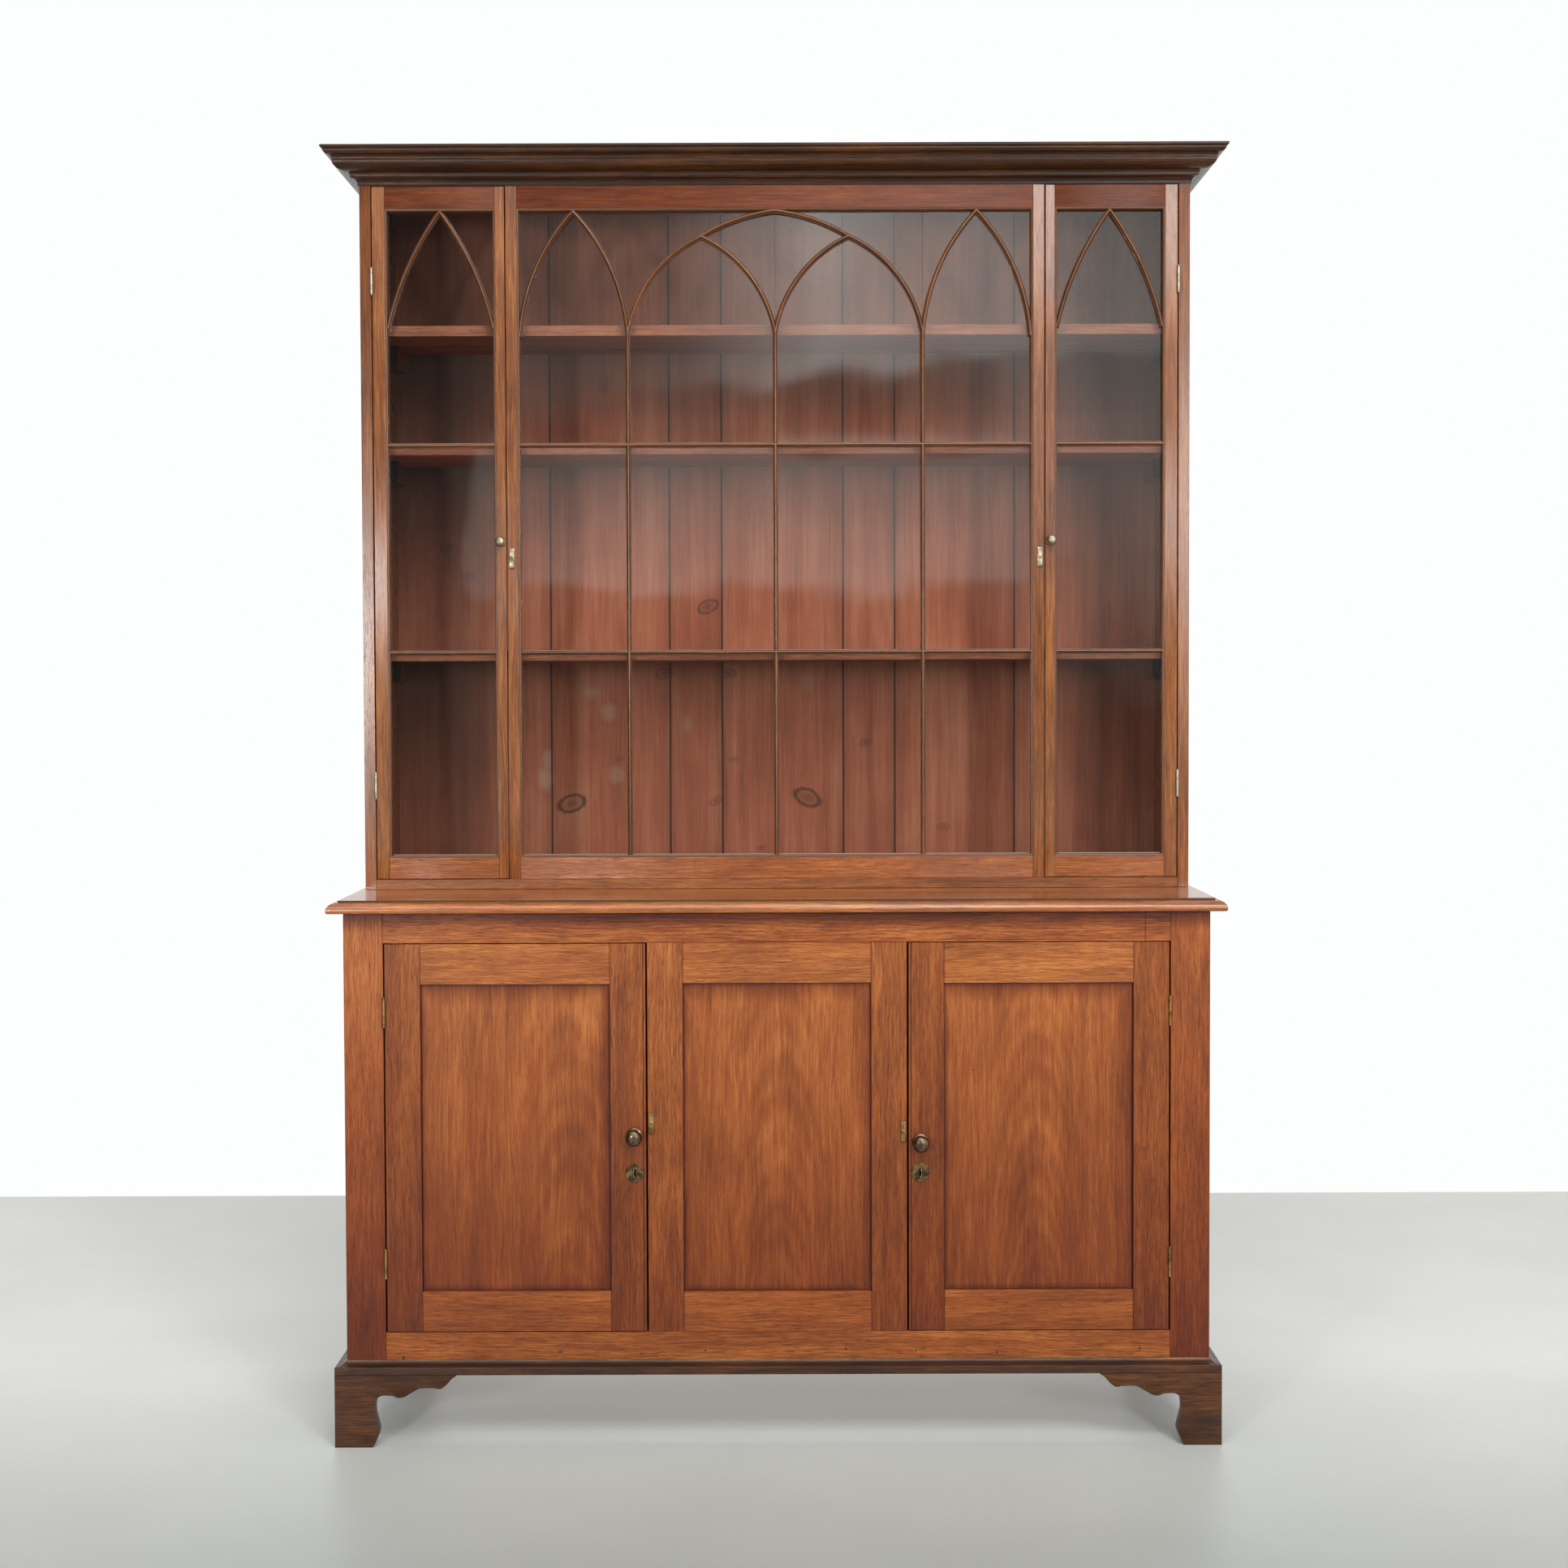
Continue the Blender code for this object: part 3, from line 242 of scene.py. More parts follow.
def ramped(tree, value, stops):
    """A colour picked by a number. stops are pairs of place and hex colour, from 0 to 1."""
    made = node(tree, "ShaderNodeValToRGB", {0: value})
    ends = made.color_ramp.elements
    for place, code in stops:
        stop = ends[0] if place == 0 else ends[-1] if place == 1 else ends.new(place)
        stop.color = paint(code)
    return made


def laid_over(tree, below, mask, above, blend="MIX"):
    """A colour with a second one laid over it, or multiplied into it, where the mask is 1."""
    return node(tree, "ShaderNodeMix", {"Factor": mask, "A": below, "B": above},
                data_type="RGBA", blend_type=blend)


def finish(name):
    """A new material with its tree and its Principled shader."""
    look = bpy.data.materials.new(name)
    look.use_nodes = True
    return look, look.node_tree, look.node_tree.nodes["Principled BSDF"]


def link_up(tree, shader, **made):
    """Link made nodes to the shader's sockets: colour, rough and, where there is one, bump."""
    for name, value in made.items():
        place = {"colour": "Base Color", "rough": "Roughness", "bump": "Normal"}[name]
        tree.links.new(next(s for s in value.outputs if s.enabled), shader.inputs[place])


def speckled(name, scale, detail, stops, rough, unevenness=0.5):
    """Loose stuff such as dust or wax: one fine noise picks from a ramp of hex colours."""
    look, tree, shader = finish(name)
    speck = noise(tree, None, scale, detail, unevenness)
    link_up(tree, shader, colour=ramped(tree, speck, stops))
    shader.inputs["Roughness"].default_value = rough
    return look


# %% [markdown]
# ## Mahogany
# Cuban and Honduran mahogany, planed, stained and wax polished for two hundred years. The eye
# sees four things in it: broad soft bands as wide as a finger, fine silky fibres, short dark
# pores a few millimetres long, and on wide boards the pointed arches of a flat-sawn log. Each
# is one noise or ring pattern in the board's own space, stretched along its grain. An image of
# wood would be quicker, but it would repeat and it would slide from board to board.
#
# Rings of a log are circles about its heart. A board sawn a little askew cuts them as long
# ovals: ring number = length of (across, taper x along) / ring spacing.

# %% Mahogany in board space
def mahogany(name, tones, along="Z", shift=0.0, members=None, stile_tone=1.0, arch=None,
             rim=None, gloss=0.36, contrast=1.0, fade=(0.48, 1.0), span=(0.2, 0.95),
             seams=(), pores=0.6, shine=0.3, ceiling=None):
    """Polished mahogany. tones are hex colours: pore, deep, middle, light.

    along is the grain's axis, or "board" where the mesh carries its own board places.
    members is (left, right, middle height) of a frame: rails lie between left and right.
    arch is (along, across, taper, spacing) of the log's heart. rim is a panel's (x0, x1, z0, z1),
    whose edges get painted shade, deepest by the top and right, with a little dirt. fade is how
    bright the colour is at the two heights of span: painted shade where less light reaches, partly
    patina. seams are the x of dark hairlines. ceiling is (height, reach) of a painted
    shadow under a moulding.
    """
    look, tree, shader = finish(name)
    _, x, y, z = own_space(tree)
    # painted shade, partly patina: the colour darkens with height where less light reaches
    dirt_and_shade = spread(tree, z, *span, *fade)
    # painted shadow under an overhanging moulding, from 0.3 at its edge to none at its reach
    if ceiling:
        dirt_and_shade = times(tree, dirt_and_shade, spread(tree, z, ceiling[0] - ceiling[1], ceiling[0], 1.0, 0.3))
    if along == "board":
        own = node(tree, "ShaderNodeAttribute", attribute_name="board").outputs["Vector"]
        u, v, w = node(tree, "ShaderNodeSeparateXYZ", {0: own}).outputs
    elif members:
        left, right, level = members
        inside = apart(tree, x, (left + right) / 2)
        rail = calc(tree, "LESS_THAN", inside, (right - left) / 2)
        far = calc(tree, "GREATER_THAN", x, right)
        upper = calc(tree, "GREATER_THAN", z, level)
        plan, step, v = [between(tree, rail, a, b) for a, b in ((z, x), (far, upper), (x, z))]
        u = scaled(tree, step, 3.7, plan)
        w = y
        # the stiles take the darkening with height more strongly than the rails, and a tone of their
        # own
        dirt_and_shade = calc(tree, "POWER", dirt_and_shade, spread(tree, rail, 0.0, 1.0, 1.0, 0.6))
        dirt_and_shade = times(tree, dirt_and_shade, spread(tree, rail, 0.0, 1.0, stile_tone, 1.0))
    else:
        u, v, w = {"Z": (z, x, y), "X": (x, z, y), "Y": (y, x, z)}[along]
    u = calc(tree, "ADD", u, shift)
    # the grain wanders up to a centimetre in an arm's length
    sway = clouds(tree, packed(tree, "XYZ", u, v, w), (2.3, 6.0, 6.0))
    v = scaled(tree, sway, 0.03, v)
    place = packed(tree, "XYZ", u, v, w)
    # bands about 20 mm wide, fibres about 3 mm, pores 2 mm wide and 20 mm long: pores are
    # drawn four times as coarse as they are, so that they show from across a room
    band = clouds(tree, place, (1.8, 40.0, 40.0), 3.0, 0.6)
    fibre = clouds(tree, place, (13.0, 320.0, 320.0), 4.0, 0.75)
    pore = clouds(tree, place, (46.0, 600.0, 600.0), 3.0, 0.65)
    cloud = clouds(tree, place, (4.5, 13.0, 13.0), 3.0)
    tone = scaled(tree, band, 0.8 * contrast, 0.5 - 1.65 * contrast)
    tone = scaled(tree, cloud, 0.95 * contrast, tone)
    tone = scaled(tree, fibre, 1.55 * contrast, tone)
    if arch:
        heart, centre, taper, spacing = arch
        long = times(tree, calc(tree, "ADD", u, -heart - shift), taper)
        wide = calc(tree, "ADD", v, -centre - 0.015)
        ring = length(tree, packed(tree, "XYZ", long, wide))
        ring = scaled(tree, cloud, 7.0, times(tree, ring, 2 * math.pi / spacing))
        near = spread(tree, calc(tree, "ABSOLUTE", wide), 0.03, 0.10, 1.0, 0.15)
        wave = calc(tree, "ADD", calc(tree, "SINE", ring),
                    calc(tree, "SINE", times(tree, ring, 0.31)))
        tone = scaled(tree, times(tree, wave, near), 0.06, tone)
    colour = ramped(tree, tone, zip((0, 0.5, 1), tones[1:]))
    # redder clouds, where the stain took more strongly
    red = times(tree, spread(tree, cloud, 0.42, 0.66), 0.45)
    colour = laid_over(tree, colour, red, (1.0, 0.78, 0.66, 1), "MULTIPLY")
    hole = times(tree, spread(tree, pore, 0.5, 0.7), pores)
    colour = laid_over(tree, colour, hole, paint(tones[0]))
    # painted shade in the panel's recess: a thin dark line at the edge, and a wider darkening that
    # reaches furthest from the top and right edges, with a little dirt
    if rim:
        gaps = [times(tree, calc(tree, "SUBTRACT", a, b), reach)
                for a, b, reach in ((x, rim[0], 2.2), (rim[1], x, 0.75), (z, rim[2], 2.0),
                                    (rim[3], z, 0.65))]
        near = gaps[0]
        for gap in gaps[1:]:
            near = calc(tree, "MINIMUM", near, gap)
        worn = scaled(tree, cloud, 0.022, near)
        dirt_and_shade = times(tree, dirt_and_shade, spread(tree, worn, 0.009, 0.034, 0.46),
                     spread(tree, near, 0.0, 0.0035, 0.3))
    for line in seams:
        # a dark hairline where two boards meet
        off = apart(tree, x, line)
        dirt_and_shade = times(tree, dirt_and_shade, spread(tree, off, 0.0003, 0.0014, 0.4))
    # where dirt and painted shade darken the wood, it turns redder, so green and blue fall faster
    dull = packed(tree, "Color", dirt_and_shade, calc(tree, "POWER", dirt_and_shade, 1.5),
                  calc(tree, "POWER", dirt_and_shade, 2.0))
    colour = laid_over(tree, colour, 1.0, dull, "MULTIPLY")
    rough = scaled(tree, fibre, 0.55 * gloss, 0.72 * gloss)
    rough = scaled(tree, hole, 0.3, rough)
    relief = scaled(tree, hole, -1.0, fibre)
    # the smoother the polish, the fuller the grain is filled
    bump = bumped(tree, relief, 0.00015, min(0.5, 2 * gloss - 0.2))
    link_up(tree, shader, colour=colour, rough=rough, bump=bump)
    # wax on bare wood mirrors less than varnish would
    shader.inputs["Specular IOR Level"].default_value = shine
    return look


BASE_TONES = ("#4A220D", "#6D3414", "#A05927", "#C98545")
STILE_TONES = ("#46200D", "#6A3012", "#A45926", "#CB8644")
RAIL_TONES = ("#52260C", "#6F3614", "#A35D29", "#CC8945")
CASE_TONES = ("#33190B", "#593116", "#875029", "#AE7641")
CASE_RAIL_TONES = ("#3E1D0F", "#69381D", "#995930", "#C28049")
DARK_TONES = ("#0F0603", "#211007", "#3F230F", "#663E1C")
FOOT_TONES = ("#0E0603", "#26130A", "#442611", "#6C421F")
INNER_TONES = ("#54291C", "#74402F", "#A0624B", "#C48A70")

# %% [markdown]
# ## Stained pine
# The back boards are pine, washed with a thin red-brown stain that has gone dusty. Pine takes
# stain unevenly: soft grey clouds, faint upright streaks, dark oval knots, and here and there a
# pale rub where books have scraped it. Each board has a tone of its own, set by its place
# across the back. Beside the joints the boards are darker, partly dirt and partly painted shade,
# and painted shade darkens the head, both ends and the boards just under each shelf.

# %% Pine
def pine(name, seams=(), knots=(), rubs=(), tones=("#86452F", "#BE6B4D", "#D89578"), level=False,
         shelves=()):
    """Dusty stained pine. seams are x of the joints, knots (x, z, width, tilt).

    The grain is upright, or along x where the board lies level. A knot is a ring where the
    stretched distance to its middle is near 1.2, fainter the smaller it is. A rub is a pale
    spot (x, z, width, height, strength) where a distance warped by noise is small. shelves are
    heights below which a painted shadow darkens the boards, reaching further down at the left end.
    """
    look, tree, shader = finish(name)
    _, x, y, z = own_space(tree)
    if level:
        x, z = y, x
    flat = packed(tree, "XYZ", x, z)
    shift = 0.0
    # painted shade: the head and both ends are darker, where the case's top and sides keep light
    # away, and the back darkens a little towards its foot
    groove = times(tree, spread(tree, x, 0.42, 0.62, 1.0, 0.66),
                   spread(tree, x, -0.62, -0.42, 0.58, 1.0),
                   spread(tree, z, 1.66, 1.90, 1.0, 0.6), spread(tree, z, 1.05, 1.35, 0.9, 1.0))
    # the painted shadow under each shelf reaches further down and is darker at the left end
    reach = spread(tree, x, -0.60, -0.46, 0.34, 0.13)
    amount = spread(tree, x, -0.60, -0.46, 0.66, 0.45)
    # painted shadow under each shelf, fading out downwards
    for height in shelves:
        start = calc(tree, "SUBTRACT", height, reach)
        shelf_shade = times(tree, spread(tree, z, start, height, 0.0, amount),
                     calc(tree, "LESS_THAN", z, height))
        groove = times(tree, groove, calc(tree, "SUBTRACT", 1.0, shelf_shade))
    # each joint is a dark line, with a broad darkening beside it, partly dirt and partly painted
    # shade
    for seam in seams:
        shift = scaled(tree, calc(tree, "GREATER_THAN", x, seam), 2.9, shift)
        off = apart(tree, x, seam)
        groove = times(tree, groove, spread(tree, off, 0.0008, 0.0024, 0.12),
                       spread(tree, off, 0.0, 0.022, 0.78))
    own = calc(tree, "ADD", z, shift)
    place = packed(tree, "XYZ", own, x, shift)
    band = clouds(tree, place, (1.6, 34.0, 1.0), 4.0, 0.65)
    fibre = clouds(tree, place, (9.0, 240.0, 1.0), 3.0)
    cloud = clouds(tree, place, (4.0, 7.0, 3.0), 4.0)
    tone = scaled(tree, band, 1.1, -0.85)
    tone = scaled(tree, fibre, 0.6, tone)
    tone = scaled(tree, cloud, 1.0, tone)
    colour = ramped(tree, tone, zip((0, 0.5, 1), tones))

    def distance(centre_x, centre_z, wide, tall, tilt, warp, amount):
        """Distance from a spot in units of its own half width and height, warped by noise."""
        seat = node(tree, "ShaderNodeMapping", {
            0: flat, "Location": (centre_x, centre_z, 0), "Rotation": (0, 0, tilt),
            "Scale": (wide, tall, 1)}, vector_type="TEXTURE")
        return scaled(tree, warp, amount, length(tree, seat))

    for kx, kz, wide, tilt in knots:
        far = distance(kx, kz, wide, wide * 0.6, tilt, fibre, 0.5)
        ring = apart(tree, far, 1.2)
        dark = min(0.75, 28 * wide)
        ring = calc(tree, "MAXIMUM", spread(tree, ring, 0.06, 0.3, dark, 0.0),
                    spread(tree, far, 0.4, 1.2, 0.45, 0.0))
        colour = laid_over(tree, colour, ring, paint("#2C140D"))
    for rx, rz, wide, tall, strength in rubs:
        far = distance(rx, rz, wide, tall, 0.0, cloud, 1.6)
        colour = laid_over(tree, colour, spread(tree, far, 1.15, 1.75, strength, 0.0),
                           paint("#CDA591"))
    if seams:
        shade = packed(tree, "Color", groove, groove, groove)
        colour = laid_over(tree, colour, 1.0, shade, "MULTIPLY")
    rough = scaled(tree, fibre, 0.2, 0.5)
    bump = bumped(tree, fibre, 0.0003, 0.4)
    link_up(tree, shader, colour=colour, rough=rough, bump=bump)
    return look


# %% [markdown]
# ## Brass, bronze, iron and old glass
# Cast brass that is handled stays yellow where fingers touch it and goes brown in between, so a
# cloudy noise mixes two golds and two roughnesses. The cupboard knobs have gone nearly
# chocolate. Old crown glass is thin and a little wavy. As a thin sheet it bends nothing one can
# see, so it is mixed from plain see-through and a mirror that grows at a slant by Schlick's rule:
# share = 0.035 + 0.965 x (1 - cos of the angle) to the power 5, the same from both sides.

# %% Metals and glass
def cast_metal(name, worn, dull, gloss, grain=55.0, cover=0.5):
    """Aged metal: noise picks between a worn and a dull colour, and between gloss and matt."""
    look, tree, shader = finish(name)
    spot = node(tree, "ShaderNodeTexCoord").outputs["Object"]
    cloud = noise(tree, spot, grain, 4.0, 0.65)
    speck = noise(tree, spot, 900.0, 2.0)
    mask = spread(tree, cloud, cover - 0.12, cover + 0.12)
    colour = laid_over(tree, paint(worn), mask, paint(dull))
    rough = scaled(tree, mask, 0.2, gloss)
    bump = bumped(tree, speck, 0.00005, 0.3)
    link_up(tree, shader, colour=colour, rough=rough, bump=bump)
    shader.inputs["Metallic"].default_value = 1.0
    return look


def crown_glass(name):
    """Thin old glass: see-through, with a mirror whose normal waves every 110 mm or so."""
    look, tree, shader = finish(name)
    spot = node(tree, "ShaderNodeTexCoord").outputs["Object"]
    wave = noise(tree, spot, 9.0, 0.0)
    bump = bumped(tree, wave, 0.001, 0.25)
    clear = node(tree, "ShaderNodeBsdfTransparent", {0: paint("#F4F4F1")})
    mirror = node(tree, "ShaderNodeBsdfGlossy", {"Color": paint("#F4F6F6"), "Roughness": 0.03,
                                                 "Normal": bump})
    facing = node(tree, "ShaderNodeLayerWeight", {"Blend": 0.5}).outputs["Facing"]
    share = scaled(tree, calc(tree, "POWER", facing, 5.0), 0.965, 0.035)
    both = node(tree, "ShaderNodeMixShader", {0: share, 1: clear, 2: mirror})
    tree.links.new(both.outputs[0], tree.nodes["Material Output"].inputs["Surface"])
    tree.nodes.remove(shader)
    return look


BRASS = cast_metal("aged cast brass", "#A98652", "#6A4E30", 0.34)
WORN_BRASS = cast_metal("worn pale brass", "#B9AD94", "#71664F", 0.28)
PALE_BRASS = cast_metal("worn hinge brass", "#CFC6B0", "#8F8570", 0.34)
PLATE_BRASS = cast_metal("antique brass plate", "#7A6142", "#3F3423", 0.42, 90.0, 0.46)
BRONZE = cast_metal("handled bronze", "#7A6450", "#4B3B2F", 0.2, 60.0, 0.5)
IRON = cast_metal("wrought iron", "#4A4440", "#2B2724", 0.5)
KEYHOLE_SHADE_IRON = cast_metal("black lock iron and painted keyhole shade", "#1E1A17", "#0E0C0B", 0.65)
STEEL = cast_metal("rubbed steel lip", "#C9C4BC", "#8E8880", 0.22)
GLASS = crown_glass("old crown glass")


# %% [markdown]
# ## The cupboard's frames and panels
# Two doors and the fixed middle frame are each four members, grain upright in the stiles and
# level in the rails, round a flat panel sunk seven millimetres. The solids already have the
# right shape, with their keyholes and scratched beads, so only the finish changes: one material
# reads where it is in the frame and turns its grain there, with a dark hairline at each joint.

# %% Finish the cupboard's solids
def dress(name, look):
    """Give a kept solid its finish."""
    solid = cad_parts[name]
    solid.data.materials.clear()
    solid.data.materials.append(look)


def wooden(name, tones, **settings):
    """Give a kept solid a mahogany of its own."""
    dress(name, mahogany(f"{name} mahogany", tones, **settings))


STILE, RAIL = 62 * MM, 70 * MM
# the log's heart for each panel: height, place across, taper, ring spacing; then stile tone
PANELS = {"base_door_left": ((-0.25, -0.36, 0.17, 0.011), 0.8),
          "base_centre": ((-0.1, 0.003, 0.16, 0.010), 0.92),
          "base_door_right": ((0.0, 0.447, 0.155, 0.009), 0.75)}
for order, (key, (arch, stile_tone)) in enumerate(PANELS.items()):
    low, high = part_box(f"{key}_frame")
    sides = (low.x + STILE, high.x - STILE)
    scratch = {"base_door_left": (high.x - 4.6 * MM,), "base_door_right": (low.x + 4.6 * MM,)}
    dress(f"{key}_frame", mahogany(f"{key} mahogany frame", RAIL_TONES, stile_tone=stile_tone,
                                   shift=order * 11.3 + 2.0, members=(*sides, 0.55),
                                   seams=(low.x, *sides, high.x, *scratch.get(key, ())),
                                   contrast=1.1, pores=0.75))
    dress(f"{key}_panel", mahogany(f"{key} mahogany panel", BASE_TONES, shift=order * 7.1,
                                   arch=arch, contrast=0.85, pores=0.4, fade=(0.42, 1.06),
                                   rim=(*sides, low.z + RAIL, high.z - RAIL)))
# painted shadow under the top's overhang, 34 mm down the stiles, sides and top rail; below it the
# fade darkens them towards the floor as painted shade, partly patina
TOP_OVERHANG_SHADE = (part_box("base_stile_left")[1].z, 34 * MM)
for order, name in enumerate(("base_stile_left", "base_stile_right", "base_side_left",
                              "base_side_right")):
    wooden(name, STILE_TONES, shift=order * 5.3 + 1.0, fade=(0.36, 1), ceiling=TOP_OVERHANG_SHADE)
wooden("base_top_rail", STILE_TONES, along="X", seams=(0.6377,), contrast=1.4, fade=(0.4, 0.92),
       pores=0.8, ceiling=TOP_OVERHANG_SHADE)
wooden("base_bottom_rail", RAIL_TONES, along="X", shift=9.0, contrast=1.3, fade=(0.72, 1),
       pores=0.8)
for name in ("base_bottom", "base_back", "base_shelf"):
    dress(name, pine(f"{name} pine", tones=("#5E3822", "#8E5D3A", "#B88A60"),
                     level=name != "base_back"))
for side in ("left", "right"):
    dress(f"lock_case_{side}", IRON)
    dress(f"lock_bolt_{side}", BRASS)
print("cupboard solids finished")

# %% [markdown]
# ## The case's solids
# Sides, top, floor and shelves of the glazed case are single mahogany boards. Behind them stands
# the boarded pine back. Its joints, knots and rubs are placed as the old boards show them.

# %% Finish the case's solids
# painted shade: the case's sides darken towards the top, under the cornice
for order, side in enumerate(("left", "right")):
    wooden(f"case_side_{side}", CASE_TONES, shift=order * 6.1 + 3.0, fade=(1.0, 0.7),
           span=(1.3, 2.2), gloss=0.18, shine=0.5)
wooden("case_bottom", CASE_TONES, along="X", shift=4.0, fade=(1, 1))
wooden("case_top", INNER_TONES, along="X", shift=5.0, fade=(1, 1))
for order, level in enumerate(LEVELS):
    wooden(f"shelf_{level}", INNER_TONES, along="X", shift=order * 3.3, gloss=0.5, fade=(1, 1))
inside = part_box("case_back")[1].x
SEAMS = [(-1 + 2 * share) * inside for share in (0.202, 0.359, 0.428, 0.588, 0.656, 0.814)]
KNOTS = ((-0.397, 1.094, 0.026, 0.3), (0.058, 1.104, 0.026, -0.45), (-0.132, 1.473, 0.02, 0.4),
         (-0.030, 1.007, 0.009, 0.0), (-0.218, 1.344, 0.016, 0.2), (-0.093, 1.344, 0.014, 0.1),
         (-0.118, 1.098, 0.012, 0.5), (-0.083, 1.178, 0.01, 0.2), (0.321, 1.046, 0.012, 0.0),
         (0.172, 1.21, 0.012, 0.3), (-0.595, 1.533, 0.012, 0.1), (-0.634, 1.587, 0.013, 0.2),
         (-0.305, 1.18, 0.009, 0.3), (-0.332, 1.901, 0.016, 1.5))
RUBS = ((-0.446, 1.141, 0.02, 0.03, 0.7), (-0.442, 1.18, 0.014, 0.022, 0.6),
        (-0.362, 1.31, 0.03, 0.02, 0.4), (-0.324, 1.271, 0.018, 0.022, 0.45),
        (-0.172, 1.247, 0.012, 0.022, 0.45), (-0.309, 1.149, 0.02, 0.02, 0.35),
        (0.06, 1.33, 0.02, 0.03, 0.3), (-0.70, 1.654, 0.008, 0.04, 0.5))
dress("case_back", pine("case_back pine", SEAMS, KNOTS, RUBS, shelves=[
    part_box(f"shelf_{level}")[0].z for level in LEVELS]))
print("case solids finished")

# %% [markdown]
# ## Boards and lines
# A board is a rectangle with softened corners carried along its grain. A drawn curve is a
# Catmull-Rom line, which passes through its points: between b and c it is
# half of (2b + (c - a)t + (2a - 5b + 4c - d)t^2 + (3b - a - 3c + d)t^3).

# %% Board and curve makers
def circle(count):
    """Evenly spaced angles of a whole turn."""
    return np.linspace(0, 2 * math.pi, count, endpoint=False)


def lengths(line):
    """How far each point of a line lies from its start, along the line."""
    return np.concatenate([[0], np.cumsum(np.hypot(*np.diff(line, axis=0).T))])


def board(low, high, along, ease=0.8 * MM, shift=0.0):
    """Skin and board places of a plain board: corners rounded by ease, ends eased too."""
    low, high = np.array(low, float), np.array(high, float)
    first, second, third = {"X": (0, 1, 2), "Y": (1, 0, 2), "Z": (2, 0, 1)}[along]
    turn = np.radians([0, 45, 90])
    quarter = np.stack([np.cos(turn), np.sin(turn)], 1)
    ring = []
    for cx, cy, spin in ((1, 1, 0), (-1, 1, 1), (-1, -1, 2), (1, -1, 3)):
        c, s = ((1, 0), (0, 1), (-1, 0), (0, -1))[spin]
        bend = np.stack([quarter[:, 0] * c - quarter[:, 1] * s,
                         quarter[:, 0] * s + quarter[:, 1] * c], 1)
        ring.append(np.stack([np.full(3, cx), np.full(3, cy), bend[:, 0], bend[:, 1]], 1))
    ring = np.concatenate(ring)
    half = (high - low) / 2
    middle = (high + low) / 2
    stations = np.array([(low[first], 1.0), (low[first] + ease * 0.4, 0.35),
                         (low[first] + ease, 0.0), (high[first] - ease, 0.0),
                         (high[first] - ease * 0.4, 0.35), (high[first], 1.0)])
    cells = np.zeros((len(stations), len(ring), 3))
    for axis, sign, bend in ((second, ring[:, 0], ring[:, 2]), (third, ring[:, 1], ring[:, 3])):
        edge = sign * (half[axis] - ease) + bend * ease
        inset = stations[:, 1:] * ease * sign
        cells[:, :, axis] = middle[axis] + edge - inset * 0.6
    cells[:, :, first] = stations[:, :1]
    flat = cells.reshape(-1, 3)
    grain = np.stack([flat[:, first] + shift, flat[:, second], flat[:, third]], 1)
    return skin(cells), grain


def drawn(points, steps):
    """A smooth open line through points, with steps stations from each point to the next."""
    p = np.array(points, float)
    p = np.concatenate([2 * p[:1] - p[1:2], p, 2 * p[-1:] - p[-2:-1]])
    t = np.linspace(0, 1, steps, endpoint=False)[None, :, None]
    a, b, c, d = (p[i:len(p) - 3 + i][:, None, :] for i in range(4))
    line = 0.5 * (2 * b + (c - a) * t + (2 * a - 5 * b + 4 * c - d) * t ** 2
                  + (3 * b - a - 3 * c + d) * t ** 3)
    return np.concatenate([line.reshape(-1, p.shape[1]), p[-2:-1]])


def quarter_turn(start, end, hollow, steps):
    """Points of a quarter ellipse after start: a round leaves upright, a hollow leaves level."""
    turn = np.linspace(0, math.pi / 2, steps + 1)[1:]
    level = np.sin(turn) if hollow else 1 - np.cos(turn)
    upright = 1 - np.cos(turn) if hollow else np.sin(turn)
    start, end = np.array(start, float), np.array(end, float)
    return start + (end - start) * np.stack([level, upright], 1)


# %% [markdown]
# ## Mouldings that turn a corner
# Cornice, plinth and the edge of the cupboard's top run along one end, the front and the other
# end. A joiner planes one long moulding and cuts three lengths with mitres. So does this: for a
# section point that reaches r beyond the carcase, the corner lies at (half width + r, front - r),
# and the three lengths meet there with a hairline between them.

# %% Mitred lengths
def planed(cells, axis, run, shift, layer):
    """One length and its board places: along its axis, round its section, and its layer."""
    along = cells[:, :, axis]
    return skin(cells), np.stack([along + shift, np.broadcast_to(run, along.shape),
                                  np.full(along.shape, layer)], -1).reshape(-1, 3)


def mitred_lengths(section, front, foot, seam=0.12 * MM):
    """Three skins and their board places. section is rows of (reach, height), closed, in metres."""
    reach, rise = section[:, 0], section[:, 1] + foot
    parts = []
    for number, side in enumerate((-1, 0, 1)):
        cells = np.zeros((2, len(section), 3))
        if side:
            cells[:, :, 0] = side * (HALF + reach)
            cells[0, :, 1] = BACK
            cells[1, :, 1] = front - reach + seam
        else:
            cells[0, :, 0] = -HALF - reach + seam
            cells[1, :, 0] = HALF + reach - seam
            cells[:, :, 1] = front - reach
        cells[:, :, 2] = rise
        parts.append(planed(cells, abs(side), lengths(section), number * 4.1, number * 0.37))
    return together(parts)


# %% The cornice
low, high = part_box("cornice")
reach, rise = high.x - HALF, high.z - low.z
